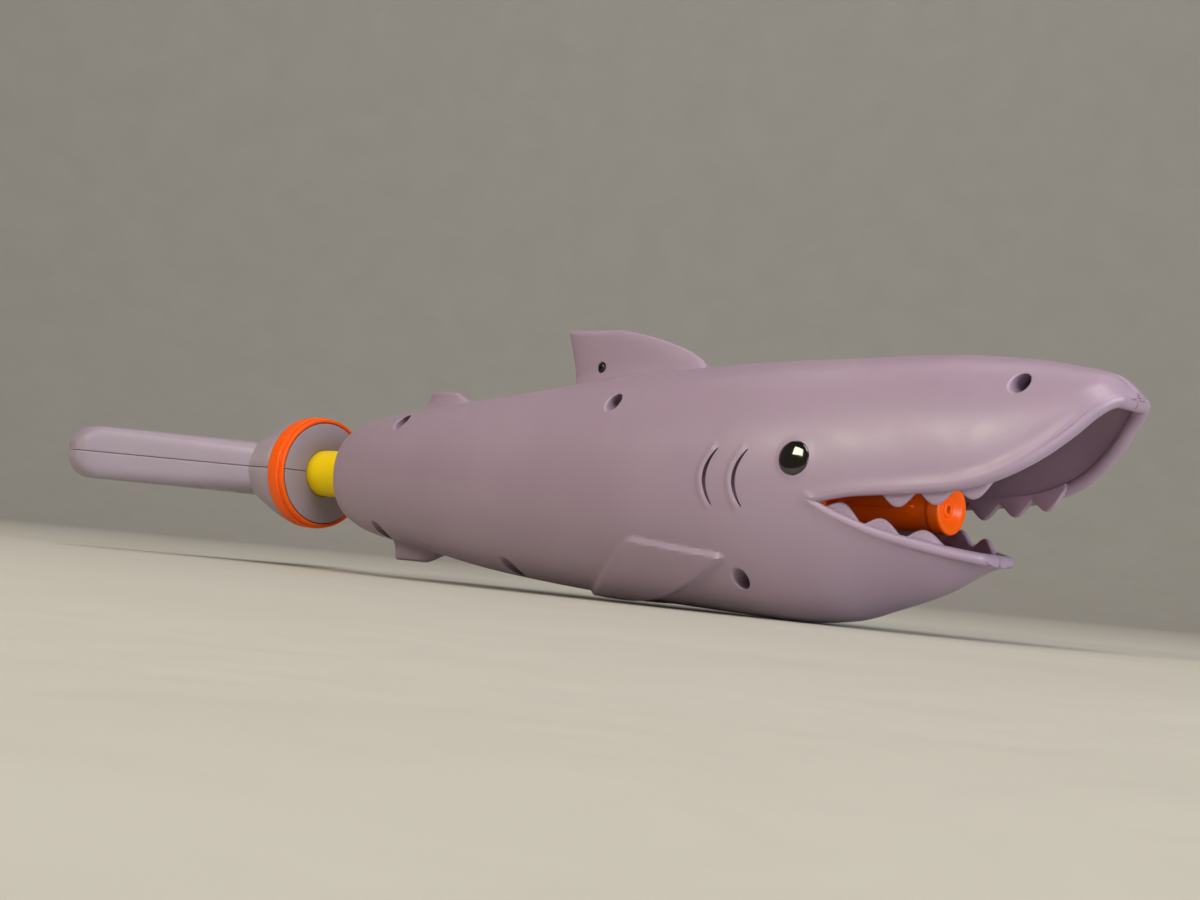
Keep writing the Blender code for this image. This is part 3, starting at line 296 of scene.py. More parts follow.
BACK_LINE = along_body(REAR_RADIUS, (
    (0.032, 0.48), (0.12, 0.58), (0.262, 0.70), (0.43, 0.852), (0.59, 0.942), (0.72, 0.978),
    (0.815, 1), (0.891, 0.976), (0.95, 0.922), (0.976, 0.885), (0.992, 0.815)), BACK_HEIGHT, NOSE_HEIGHT)
BELLY_LINE = along_body(-REAR_RADIUS, (
    (0.032, -0.59), (0.12, -0.696), (0.262, -0.85), (0.43, -0.942), (0.59, -0.985), (0.662, -1),
    (0.718, -0.955), (0.768, -0.828), (0.815, -0.682), (0.856, -0.492), (0.884, -0.367),
    (0.95, 0.354), (0.985, 0.684)), BELLY_DEPTH, NOSE_HEIGHT)
WIDTH_LINE = along_body(REAR_RADIUS, (
    (0.012, 0.623), (0.032, 0.674), (0.068, 0.743), (0.135, 0.829), (0.256, 0.925), (0.374, 0.971),
    (0.512, 1), (0.615, 0.986), (0.70, 0.923), (0.812, 0.786), (0.915, 0.646), (0.95, 0.543),
    (0.979, 0.4), (0.992, 0.25)), BODY_HALF_WIDTH, 0)
WAIST_LINE = along_body(0, (
    (0.5, 0), (0.718, 0.056), (0.797, 0.139), (0.885, 0.25), (0.915, 0.361), (0.95, 0.611),
    (0.979, 0.889)), NOSE_HEIGHT, NOSE_HEIGHT)
JAW_POWER_LINE = along_body(SECTION_POWER, (
    (0.65, 1), (0.86, JAW_POWER / SECTION_POWER), (0.9, JAW_POWER / SECTION_POWER), (0.95, 1)),
    SECTION_POWER, SECTION_POWER)

MOUTH_LENGTH = BODY_LENGTH - MOUTH_CORNER_X
JAW_LENGTH = JAW_TIP_X - MOUTH_CORNER_X
UPPER_LIP_LINE = [(0, 0), (0.16, 0.09), (0.35, 0.14), (0.52, 0.195), (0.61, 0.255), (0.7, 0.355),
                  (0.78, 0.485), (0.86, 0.665), (0.93, 0.86), (0.97, 0.95), (1, 0.975)]
LOWER_LIP_LINE = [(0, 0), (0.1, 0.19), (0.25, 0.41), (0.45, 0.64), (0.65, 0.79), (0.85, 0.92), (1, 1)]


# The body's form

def edge_inset(x):
    """How far the rounded rear edge draws the section in."""
    return REAR_EDGE - np.sqrt(REAR_EDGE ** 2 - np.clip(REAR_EDGE - x, 0, REAR_EDGE) ** 2)


def lip_height(x, upper):
    """Height of the mouth's edge at x."""
    if upper:
        share = smooth(UPPER_LIP_LINE, (x - MOUTH_CORNER_X) / MOUTH_LENGTH)
        return MOUTH_CORNER_Z + share * (NOSE_HEIGHT - MOUTH_CORNER_Z)
    share = smooth(LOWER_LIP_LINE, (x - MOUTH_CORNER_X) / JAW_LENGTH)
    return MOUTH_CORNER_Z + share * (smooth(BELLY_LINE, JAW_TIP_X) + JAW_TIP_RISE - MOUTH_CORNER_Z)


def steepness(line, x):
    """Length of the line at x for each unit along the body."""
    rise = smooth(line, x + MM) - smooth(line, x - MM)
    return np.hypot(1, rise / (2 * MM))


def section_sizes(x, inset=0):
    """Waist height, height above it, depth below it and half width of the body's section at x."""
    waist = smooth(WAIST_LINE, x)
    top = smooth(BACK_LINE, x) - edge_inset(x) - inset * steepness(BACK_LINE, x)
    bottom = smooth(BELLY_LINE, x) + edge_inset(x) + inset * steepness(BELLY_LINE, x)
    width = smooth(WIDTH_LINE, x) - edge_inset(x) - inset * steepness(WIDTH_LINE, x)
    return waist, top - waist, waist - bottom, width


def body_grid(rows, angles, inset=0):
    """Points of the body's surface: a row for each distance and a column for each angle."""
    x = np.asarray(rows, float)[:, None]
    c, s = np.cos(angles)[None], np.sin(angles)[None]
    waist, above, below, width = section_sizes(x, inset)
    power = 2 / np.where(s > 0, SECTION_POWER, smooth(JAW_POWER_LINE, x))
    y = width * np.copysign(np.abs(c) ** power, c)
    z = waist + np.where(s > 0, above, below) * np.copysign(np.abs(s) ** power, s)
    return np.stack(np.broadcast_arrays(x, y, z), axis=-1)


def surface_y(x, z):
    """Half width of the body's surface at x and height z."""
    waist, above, below, width = section_sizes(x)
    share = np.clip(np.abs(z - waist) / np.maximum(np.where(z > waist, above, below), FIT), 0, 1)
    power = np.where(z > waist, SECTION_POWER, smooth(JAW_POWER_LINE, x))
    return np.maximum(width, 0) * (1 - share ** power) ** (1 / power)


def surface_slopes(x, z):
    """How the half width changes with x and with z."""
    step = 0.5 * MM
    slope_x = (surface_y(x + step, z) - surface_y(x - step, z)) / (2 * step)
    slope_z = (surface_y(x, z + step) - surface_y(x, z - step)) / (2 * step)
    return slope_x, slope_z


def grid_normals(grid):
    """Outward unit normals of a body grid."""
    around = np.roll(grid, -1, axis=1) - np.roll(grid, 1, axis=1)
    along = np.gradient(grid, axis=0)
    normals = np.cross(around, along)
    return normals / np.maximum(np.linalg.norm(normals, axis=-1, keepdims=True), 1e-12)


# Features of the moulded skin, each as a height above the plain form

def line_distance(points, path):
    """Distance of each (x, z) point to a path of straight stretches."""
    best = np.full(points.shape[:-1], np.inf)
    for a, b in zip(path, path[1:]):
        a, along = np.array(a), np.array(b) - np.array(a)
        share = np.clip(((points - a) @ along) / (along @ along), 0, 1)
        best = np.minimum(best, np.linalg.norm(points - a - share[..., None] * along, axis=-1))
    return best


def is_inside(points, outline):
    """Whether each (x, z) point lies inside a closed outline."""
    inside = np.zeros(points.shape[:-1], bool)
    x, z = points[..., 0], points[..., 1]
    for (ax, az), (bx, bz) in zip(outline, outline[1:] + outline[:1]):
        crosses = (az > z) != (bz > z)
        level = bz - az if bz != az else 1
        inside ^= crosses & (x < ax + (bx - ax) * (z - az) / level)
    return inside


def bow(start, bend, end, t):
    """Point at share t of the curve that leaves start and reaches end towards bend."""
    return start * (1 - t) ** 2 + bend * 2 * t * (1 - t) + end * t * t


def side_fin_outline():
    """Outline of the side fin: two straight edges, a curved lower edge and round corners."""
    corners = (SIDE_FIN_REAR, SIDE_FIN_TOP, SIDE_FIN_FRONT, SIDE_FIN_BEND)
    rear, top, front, bend = [Vector(corner) for corner in corners]
    points = []
    for before, at, after in ((bend, front, top), (front, top, rear), (top, rear, bend)):
        enter = at + (before - at).normalized() * SIDE_FIN_CORNER
        leave = at + (after - at).normalized() * SIDE_FIN_CORNER
        points += [tuple(bow(enter, at, leave, i / 6)) for i in range(7)]
    start, end = Vector(points[-1]), Vector(points[0])
    return points + [tuple(bow(start, bend, end, i / 20)) for i in range(1, 20)]


def gill_line(number, offset=0):
    """Curve of one gill slit as (x, z) points, top first."""
    points = []
    for i in range(GILL_STEPS + 1):
        share = 2 * i / GILL_STEPS - 1
        points.append((GILL_X[number] + GILL_BULGE * share ** 2 + offset, GILL_Z - GILL_HEIGHT / 2 * share))
    return points


def girth(grid):
    """Distance of each point of a body grid from the belly's middle line, along its section."""
    steps = np.linalg.norm(np.roll(grid, -1, axis=1) - grid, axis=-1)
    bottom = int(np.argmin(grid[..., 2].mean(axis=0)))
    ahead = np.cumsum(np.roll(steps, -bottom, axis=1), axis=1)
    total = ahead[:, -1:]
    ahead = np.roll(np.concatenate((np.zeros_like(total), ahead[:, :-1]), axis=1), bottom, axis=1)
    return np.minimum(ahead, total - ahead)


def side_fin_relief(grid):
    """Height of the raised side fins."""
    outline = side_fin_outline()
    points = np.stack((grid[..., 0], girth(grid)), axis=-1)
    distance = line_distance(points, outline + outline[:1])
    signed = np.where(is_inside(points, outline), distance, -distance)
    return SIDE_FIN_RELIEF * ease(-SIDE_FIN_EDGE, SIDE_FIN_EDGE, signed)


def gill_relief(points):
    """Height of the ridges behind the gill slits."""
    height = 0
    for number in range(len(GILL_X)):
        away = line_distance(points, gill_line(number, -GILL_RIDGE_OFFSET))
        height = height + GILL_RIDGE * np.exp(-(away / GILL_RIDGE_REACH) ** 2)
    return height


def eye_relief(points):
    """Height of the low rim round the eyes."""
    away = np.linalg.norm(points - np.array((EYE_X, EYE_Z)), axis=-1) - EYE_RADIUS
    return EYE_RIM * np.exp(-(away / EYE_RIM_REACH) ** 2)


def lip_radius(x, upper):
    """Radius of the mouth's edge, which grows away from the corner."""
    sizes, length = (UPPER_LIP_RADIUS, MOUTH_LENGTH) if upper else (LOWER_LIP_RADIUS, JAW_LENGTH)
    return sizes[0] + (sizes[1] - sizes[0]) * ease(0, 1, (x - MOUTH_CORNER_X) / length)


def lip_relief(points):
    """Height of the swelling that carries the skin onto the thicker edge of the mouth."""
    x, z = points[..., 0], points[..., 1]
    height = 0
    for upper, sign in ((True, 1), (False, -1)):
        slope = (lip_height(x + MM, upper) - lip_height(x - MM, upper)) / (2 * MM)
        away = sign * (z - lip_height(x, upper)) / np.hypot(1, slope)
        fade = ease(MOUTH_CORNER_X - LIP_FADE, MOUTH_CORNER_X + LIP_FADE, x)
        rise = lip_radius(x, upper) - SHELL_WALL / 2
        swelling = np.exp(-(np.maximum(away, 0) / LIP_REACH) ** 2) * (away > -LIP_REACH)
        height = height + fade * rise * swelling
    return height


def seam_relief(grid):
    """Depth of the rounded edges where the two shells meet, deepest at the nose."""
    nose = ease(NOSE_SEAM_START * BODY_LENGTH, BODY_LENGTH, grid[..., 0])
    depth = SEAM_DEPTH + (NOSE_SEAM_DEPTH - SEAM_DEPTH) * nose
    reach = SEAM_REACH + (NOSE_SEAM_REACH - SEAM_REACH) * nose
    return -depth * np.clip(1 - np.abs(grid[..., 1]) / reach, 0, 1) ** 2


# Meshes

WORK = bpy.data.collections.new("work")
bpy.context.scene.collection.children.link(WORK)


def new_object(name, mesh):
    """Object in the work collection."""
    made = bpy.data.objects.new(name, mesh)
    WORK.objects.link(made)
    return made


def object_from(bm, name, turn_out=True):
    """Object made from a bmesh. turn_out makes the faces of each closed body point out."""
    bmesh.ops.remove_doubles(bm, verts=bm.verts, dist=1e-7)
    if turn_out:
        bmesh.ops.recalc_face_normals(bm, faces=bm.faces)
    mesh = bpy.data.meshes.new(name)
    bm.to_mesh(mesh)
    bm.free()
    return new_object(name, mesh)


def baked(made, turn_out=True):
    """The object with its modifiers or its curve turned into a mesh."""
    bpy.context.view_layer.update()
    mesh = bpy.data.meshes.new_from_object(made.evaluated_get(bpy.context.evaluated_depsgraph_get()))
    bm = bmesh.new()
    bm.from_mesh(mesh)
    bm.transform(made.matrix_world)
    name = made.name
    bpy.data.objects.remove(made)
    bpy.data.meshes.remove(mesh)
    return object_from(bm, name, turn_out)


def boolean(target, tools, operation):
    """The target after a Boolean with each tool in turn. Uses the tools up."""
    for tool in tools:
        modifier = target.modifiers.new(tool.name, "BOOLEAN")
        modifier.solver = "MANIFOLD"
        modifier.operation = operation
        modifier.object = tool
        target = baked(target, turn_out=False)
        bpy.data.objects.remove(tool)
    return target


def joined(name, parts):
    """One object of several bodies that don't touch. Uses the parts up."""
    bm = bmesh.new()
    for part in parts:
        bm.from_mesh(part.data)
        bpy.data.objects.remove(part)
    return object_from(bm, name, turn_out=False)


def loft(name, rings, closed=False):
    """Closed body through rings of equal count, with flat ends unless the last ring meets the first."""
    grid = np.asarray(rings, float)
    rows, columns = grid.shape[:2]
    index = np.arange(rows * columns).reshape(rows, columns)
    after = np.roll(index, -1, axis=1)
    quads = np.stack((index, after, np.roll(after, -1, axis=0), np.roll(index, -1, axis=0)), axis=-1)
    ends = [] if closed else [index[0].tolist(), index[-1][::-1].tolist()]
    faces = quads[:rows if closed else rows - 1].reshape(-1, 4).tolist() + ends
    mesh = bpy.data.meshes.new(name)
    mesh.from_pydata(grid.reshape(-1, 3).tolist(), [], faces)
    return baked(new_object(name, mesh))


def turned(name, profile, sides=ROUND, ring=False):
    """Body turned about the x axis from (x, radius) points. A ring's profile is a closed loop."""
    bm = bmesh.new()
    points = [Vector((x, 0, radius)) for x, radius in profile]
    loops = []
    for point in points:
        if point.z < 1e-9:
            loops.append([bm.verts.new(point)])
        else:
            turn = [Matrix.Rotation(2 * math.pi * i / sides, 3, "X") for i in range(sides)]
            loops.append([bm.verts.new(m @ point) for m in turn])
    pairs = list(zip(loops, loops[1:])) + ([(loops[-1], loops[0])] if ring else [])
    for a, b in pairs:
        for i in range(sides):
            j = (i + 1) % sides
            corners = [a[i % len(a)], a[j % len(a)], b[j % len(b)], b[i % len(b)]]
            bm.faces.new(dict.fromkeys(corners))
    return object_from(bm, name)


def rounded(profile, reach, ring=True, steps=5):
    """The profile with its corners drawn as curves that start at most reach from each corner."""
    points = [Vector(p) for p in profile]
    count = len(points)
    made = []
    for i, at in enumerate(points):
        if not ring and i in (0, count - 1):
            made.append(tuple(at))
            continue
        before, after = points[i - 1] - at, points[(i + 1) % count] - at
        enter = at + before.normalized() * min(reach, 0.45 * before.length)
        leave = at + after.normalized() * min(reach, 0.45 * after.length)
        made += [tuple(bow(enter, at, leave, k / steps)) for k in range(steps + 1)]
    return made


def rod_between(name, start, end, radius, sides=HOLE_SIDES):
    """Closed cylinder from start to end."""
    start, end = Vector(start), Vector(end)
    turn = (end - start).to_track_quat("Z", "Y").to_matrix().to_4x4()
    place = Matrix.Translation((start + end) / 2) @ turn
    bm = bmesh.new()
    bmesh.ops.create_cone(bm, cap_ends=True, segments=sides, radius1=radius, radius2=radius,
                          depth=(end - start).length, matrix=place)
    return object_from(bm, name)


def block(name, low, high):
    """Box between two corners."""
    low, high = Vector(low), Vector(high)
    size = Matrix.Diagonal((*(high - low), 1))
    bm = bmesh.new()
    bmesh.ops.create_cube(bm, size=1, matrix=Matrix.Translation((low + high) / 2) @ size)
    return object_from(bm, name)


def tube(name, points, radii, sides=24):
    """Tube along the points with its own radius at each, and round ends."""
    points = [Vector(p) for p in points]
    ahead = [(b - a).normalized() for a, b in zip(points, points[1:])]
    ahead.append(ahead[-1])
    cap = [math.pi / 2 * k / 6 for k in range(6)]
    ends = {0: [-angle for angle in cap[::-1]], len(points) - 1: cap}
    rings = []
    for i, (point, radius) in enumerate(zip(points, radii)):
        direction = (ahead[max(i - 1, 0)] + ahead[i]).normalized()
        across = direction.cross(Vector((0, 0, 1))).normalized()
        above = across.cross(direction)
        circle = [across * math.cos(a) + above * math.sin(a)
                  for a in (2 * math.pi * k / sides for k in range(sides))]
        for angle in ends.get(i, [0]):
            centre = point + direction * radius * math.sin(angle)
            rings.append([centre + side * radius * math.cos(angle) for side in circle])
    return loft(name, rings)


def body_rows():
    """Distances from the rear end of the sections, closest where the skin has fine features."""
    edge = [REAR_EDGE * (1 - math.cos(math.pi / 2 * i / 6)) for i in range(7)]
    rows = edge
    for end, step in ((FINE_START, COARSE), (FINE_END, FINE), (NOSE_START * BODY_LENGTH, COARSE)):
        count = math.ceil((end - rows[-1]) / step)
        rows = rows + [rows[-1] + (end - rows[-1]) * (i + 1) / count for i in range(count)]
    nose = BODY_LENGTH - rows[-1]
    front = [rows[-1] + nose * math.sin(math.pi / 2 * (i + 1) / NOSE_ROWS) for i in range(NOSE_ROWS)]
    front[-1] = BODY_LENGTH - 0.02 * MM
    return rows + front


def body_angles():
    """Angles of the columns, with close ones beside the seam between the shells."""
    near_seam = [0.12, 0.3, 0.5, 0.75, 1.05, 1.4, 1.8, 2.3, 2.9]
    angles = [360 * i / BODY_COLUMNS for i in range(BODY_COLUMNS)]
    angles = [a for a in angles if min(abs(a - 90), abs(a - 270)) > 3]
    for seam in (90, 270):
        angles += [seam] + [seam - a for a in near_seam] + [seam + a for a in near_seam]
    return np.radians(sorted(angles))


def body_solid():
    """The body's outer skin with its relief, closed."""
    grid = body_grid(body_rows(), body_angles())
    normals = grid_normals(grid)
    side = grid[..., (0, 2)]
    height = side_fin_relief(grid) + gill_relief(side) + eye_relief(side) + lip_relief(side)
    height = height * (np.abs(grid[..., 1]) > 1 * MM) + seam_relief(grid)
    height[[0, -1]] = 0
    return loft("body_form", grid + normals * height[..., None])


def body_void():
    """The hollow inside the body's wall, before ribs and posts, closed near the nose."""
    rows = [SHELL_WALL] + [x for x in body_rows() if x > 4 * SHELL_WALL][::3]
    nose = [x for x in body_rows() if x > VOID_NOSE_START * BODY_LENGTH]
    rows = sorted(set(rows) | set(nose))
    inside = [x for x in rows if min(float(size) for size in section_sizes(x, SHELL_WALL)[1:]) > VOID_END]
    angles = np.radians(np.arange(VOID_COLUMNS) * 360 / VOID_COLUMNS)
    return loft("body_void", body_grid(inside, angles, SHELL_WALL))


def fin_fillet(above):
    """What the fillet adds to a fin's half thickness at a height above the body's line."""
    return FIN_FILLET * np.exp(-np.maximum(above, 0) / FIN_FILLET_REACH)


def fin(name, levels=26, sides=72):
    """Fin with round edges that grows out of the body's line."""
    rear_x, length, top, height, rear_lean, front_power, side = FINS[name]
    line = BACK_LINE if side > 0 else BELLY_LINE
    base_z = float(smooth(line, rear_x)) - side * FIN_ROOT
    height = height + FIN_ROOT
    front_lean = length - top - rear_lean
    angles = np.arange(sides) * 2 * math.pi / sides
    c, s = np.cos(angles), np.sin(angles)
    rings = []
    for level in range(levels):
        share = math.sin(math.pi / 2 * level / (levels - 1))
        tip = ease(FIN_TIP_START, 1, share)
        rear = rear_x + rear_lean * share ** FIN_REAR_POWER
        front = rear_x + length - front_lean * share ** front_power
        half = FIN_HALF_THICKNESS * (1 - FIN_TAPER * share) * math.sqrt(max(1 - tip ** 2, 0.01))
        x = (rear + front) / 2 + (front - rear) / 2 * np.copysign(np.abs(c) ** FIN_EDGE_POWER, c)
        z = base_z + side * height * share
        half = half + fin_fillet(side * (z - smooth(line, x)))
        y = half * np.copysign(np.abs(s) ** FIN_FACE_POWER, s)
        rings.append(np.stack((x, y, np.full_like(x, z)), axis=-1))
    return loft(name, rings)


def mouth_gap():
    """The space between the jaws, open to the front and to both sides."""
    shares = [i / 60 for i in range(61)]
    upper = [MOUTH_CORNER_X + MOUTH_LENGTH * math.sin(math.pi / 2 * share) for share in shares]
    lower = [MOUTH_CORNER_X + JAW_LENGTH * share for share in shares[:0:-1]]
    upper = [(x, float(lip_height(x, True))) for x in upper]
    lower = [(x, float(lip_height(x, False))) for x in lower]
    ahead = BODY_LENGTH + CLEAR
    outline = upper + [(ahead, upper[-1][1]), (ahead, -CLEAR), (JAW_TIP_X + FIT, -CLEAR)] + lower
    return loft("mouth_gap", [[(x, y, z) for x, z in outline] for y in (-CLEAR, CLEAR)])


def lip_point(x, upper, side, depth):
    """Point of the mouth's edge at x, at a depth below the outer surface."""
    z = float(lip_height(x, upper))
    return Vector((x, side * max(float(surface_y(x, z)) - depth, 0), z))


def lip(name, upper, side):
    """Rounded edge of one jaw, from the corner of the mouth to the seam."""
    depth = SHELL_WALL / 2
    length = (MOUTH_LENGTH if upper else JAW_LENGTH) - (UPPER_LIP_RADIUS if upper else LOWER_LIP_RADIUS)[1]
    steps = 70
    points = []
    for i in range(steps + 1):
        share = i / steps
        x = MOUTH_CORNER_X + length * (math.sin(math.pi / 2 * share) if upper else share)
        points.append(lip_point(x, upper, side, depth))
    end = Vector((MOUTH_CORNER_X + length, 0, float(lip_height(MOUTH_CORNER_X + length, upper))))
    points = [p for p in points if abs(p.y) > float(lip_radius(p.x, upper))]
    reach = Vector((0, side * float(lip_radius(end.x, upper)), 0))
    start, bend = points[-1], Vector((end.x, points[-1].y * LIP_BEND, end.z))
    points += [bow(start, bend, end, t) for t in (0.25, 0.5, 0.75, 1)]
    points.append(end - reach)
    radii = [float(lip_radius(p.x, upper)) for p in points]
    return tube(name, points, radii)


def tooth_strip(name, upper, side, first):
    """Scalloped sheet behind the lip, with rounded teeth."""
    height = UPPER_TOOTH_HEIGHT if upper else LOWER_TOOTH_HEIGHT
    out = Vector((0, 0, -1 if upper else 1))
    half = TOOTH_THICKNESS / 2
    depth = SHELL_WALL + half * TOOTH_SINK
    step = TOOTH_PITCH / TOOTH_SAMPLES
    rings = []
    for i in range(TOOTH_SAMPLES * TEETH + 1):
        x = first + step * (i - TOOTH_SAMPLES / 2)
        at = lip_point(x, upper, side, depth)
        ahead = lip_point(x + MM, upper, side, depth) - lip_point(x - MM, upper, side, depth)
        across = Vector((-ahead.y, ahead.x, 0)).normalized() * half
        tooth = (0.5 - 0.5 * math.cos(2 * math.pi * i / TOOTH_SAMPLES)) ** TOOTH_POWER
        rise = half + height * tooth
        ring = [at + across - out * TOOTH_ROOT]
        for k in range(9):
            angle = math.pi * k / 8
            ring.append(at + across * math.cos(angle) + out * (rise - half + half * math.sin(angle)))
        ring.append(at - across - out * TOOTH_ROOT)
        rings.append(ring)
    return loft(name, rings)


def gill_cutters(side):
    """Curved grooves behind one eye, which narrow and rise to their ends."""
    made = []
    for number in range(len(GILL_X)):
        rings = []
        for i, (x, z) in enumerate(gill_line(number)):
            share = math.sin(math.pi * (GILL_ENDS + (1 - 2 * GILL_ENDS) * i / GILL_STEPS)) ** GILL_POWER
            slope_x, slope_z = surface_slopes(x, z)
            outward = Vector((-slope_x, side, -slope_z)).normalized()
            ahead = Vector((1, side * slope_x, 0)).normalized() * GILL_HALF_WIDTH * share
            at = Vector((x, side * float(surface_y(x, z)), z))
            bottom = at - (outward + Vector((GILL_SLANT, 0, 0))) * GILL_DEPTH * share
            top = at + outward * GILL_HALF_WIDTH * 2
            rings.append([top + ahead * GILL_MOUTH, at + ahead, bottom + ahead * GILL_FLOOR,
                          bottom - ahead * GILL_FLOOR, at - ahead, top - ahead * GILL_MOUTH])
        made.append(loft(f"gill_{number}", rings))
    return made


def eye_place(side):
    """Matrix that carries +Z onto the outward normal at the eye, with the origin on the surface."""
    slope_x, slope_z = surface_slopes(EYE_X, EYE_Z)
    normal = Vector((-slope_x, side, -slope_z)).normalized()
    at = Vector((EYE_X, side * float(surface_y(EYE_X, EYE_Z)), EYE_Z))
    return Matrix.Translation(at) @ normal.to_track_quat("Z", "Y").to_matrix().to_4x4()


def edge_cutter(name, centre, radius, side, half_width, slopes):
    """Ring that rounds the outer edge of a hole along y. half_width and slopes are those of the surface."""
    rings = []
    for i in range(HOLE_SIDES):
        angle = 2 * math.pi * i / HOLE_SIDES
        c, s = math.cos(angle), math.sin(angle)
        x, z = centre[0] + radius * c, centre[1] + radius * s
        slope_x, slope_z = slopes(x, z)
        at = Vector((x, side * float(half_width(x, z)), z))
        outward = Vector((c, side * float(slope_x * c + slope_z * s), s)).normalized() * HOLE_EDGE
        down = Vector((0, -side * HOLE_EDGE, 0))
        middle = at + outward + down
        arc = [middle - down * math.cos(a) - outward * math.sin(a)
               for a in (math.pi / 2 * k / 5 for k in range(6))]
        corner = at - outward - down
        rings.append([arc[0] - down, *arc, arc[-1] - outward, corner])
    return loft(name, rings, closed=True)


def fin_half(x, z):
    """Half thickness of the dorsal fin's flank at height z."""
    rear_x, _, _, height = FINS["dorsal_fin"][:4]
    share = (z - float(smooth(BACK_LINE, rear_x)) + FIN_ROOT) / (height + FIN_ROOT)
    return FIN_HALF_THICKNESS * (1 - FIN_TAPER * share) + float(fin_fillet(z - smooth(BACK_LINE, x)))


def fin_slopes(x, z):
    """How the dorsal fin's half thickness changes with x and with z."""
    return 0, (fin_half(x, z + MM) - fin_half(x, z - MM)) / (2 * MM)


def post_screws():
    """Distance and height of each screw that sits in a post. The last is in the nose."""
    nose_x = BODY_LENGTH - NOSE_SCREW_INSET
    return [*BODY_SCREWS, (nose_x, float(smooth(BACK_LINE, nose_x)) - NOSE_SCREW_DEPTH)]


def screw_places():
    """Each body screw's distance, height, seat depth, reach, head height and head radius."""
    made = [(x, z, BODY_SCREW_SEAT, BODY_SCREW_REACH, HEAD_HEIGHT, HEAD_RADIUS) for x, z in post_screws()]
    fin_z = float(smooth(BACK_LINE, FIN_SCREW_X)) + FIN_SCREW_RISE
    size = (FIN_SCREW_SEAT, FIN_SCREW_REACH, FIN_HEAD_HEIGHT, FIN_HEAD_RADIUS)
    return made + [(FIN_SCREW_X, fin_z, *size)]


def barrel_ribs():
    """Walls across the body that carry the barrel, with its bore."""
    made = []
    for x in RIBS_X:
        bore = BARREL_RADIUS + FIT
        profile = [(x, bore), (x, CLEAR), (x + RIB_WIDTH, CLEAR), (x + RIB_WIDTH, bore)]
        made.append(turned(f"rib_{x:.3f}", profile, ring=True))
    return made


def body_posts():
    """Screw posts from wall to wall."""
    return [rod_between(f"post_{i}", (x, -CLEAR, z), (x, CLEAR, z), POST_RADIUS)
            for i, (x, z) in enumerate(post_screws())]


def shell(name, side):
    """One moulded body shell with its relief, lips, teeth, gills, eye seat and screw holes."""
    low, high = sorted((side * FIT / 2, -side * CLEAR))
    other_half = block("other_half", (-CLEAR, low, -CLEAR), (BODY_LENGTH + CLEAR, high, CLEAR))
    fins = joined("fins", [fin(key) for key in FINS])
    form = boolean(boolean(body_solid(), [fins], "UNION"), [other_half], "DIFFERENCE")
    supports = [joined("ribs", barrel_ribs()), joined("posts", body_posts())]
    void = boolean(body_void(), supports, "DIFFERENCE")
    rod_hole = rod_between("rod_hole", (-SHELL_WALL, 0, 0), (2 * SHELL_WALL, 0, 0),
                           ROD_RADIUS + 2 * FIT, ROUND)
    form = boolean(form, [void, joined("openings", [mouth_gap(), rod_hole])], "DIFFERENCE")
    edges = boolean(lip("upper_lip", True, side), [
        lip("lower_lip", False, side),
        tooth_strip("upper_teeth", True, side, UPPER_TEETH_X),
        tooth_strip("lower_teeth", False, side, LOWER_TEETH_X)], "UNION")
    form = boolean(form, [edges], "UNION")
    place = eye_place(side)
    wide = gill_cutters(side)
    wide.append(rod_between("eye_recess", place @ Vector((0, 0, -EYE_SINK - FIT)),
                            place @ Vector((0, 0, EYE_RADIUS)), EYE_RADIUS + FIT / 2, ROUND))
    narrow = [rod_between("eye_hole", place @ Vector((0, 0, -EYE_PEG_LENGTH - EYE_RADIUS)),
                          place @ Vector((0, 0, -EYE_SINK / 2)), EYE_PEG_RADIUS + FIT)]
    for i, (x, z, seat, reach, _, head_radius) in enumerate(screw_places()):
        radius = head_radius + FIT
        narrow.append(rod_between(f"hole_{i}", (x, -seat - FIT, z), (x, reach + SCREW_END_GAP, z),
                                  SHANK_RADIUS + FIT))
        if side < 0:
            wide.append(rod_between(f"counterbore_{i}", (x, -seat, z), (x, -CLEAR, z), radius))
            flank = (fin_half, fin_slopes) if i == len(post_screws()) else (surface_y, surface_slopes)
            narrow.append(edge_cutter(f"edge_{i}", (x, z), radius, side, *flank))
    other_half = block("other_half", (-CLEAR, low, -CLEAR), (BODY_LENGTH + CLEAR, high, CLEAR))
    cuts = [joined("wide_cuts", wide), joined("narrow_cuts", narrow), other_half]
    form = boolean(form, cuts, "DIFFERENCE")
    finish(form, name + "_skin", name, "body", "body_plastic")


def finish(made, name, node, body, slot, place=Matrix.Identity(4), sharp=SHARP_ANGLE):
    """Names the piece, gives it its finish, places it on its body and lets it stand for its CAD node."""
    made.name = name
    made.data.name = name
    made.data.materials.clear()
    made.data.materials.append(MATERIALS[slot])
    made.data.shade_smooth()
    made.data.set_sharp_from_angle(angle=math.radians(sharp))
    WORK.objects.unlink(made)
    bpy.context.scene.collection.objects.link(made)
    made.matrix_world = Matrix.Translation(TAIL_PLACE if body == "plunger" else BODY_PLACE) @ place
    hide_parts(node)
    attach(made, body)


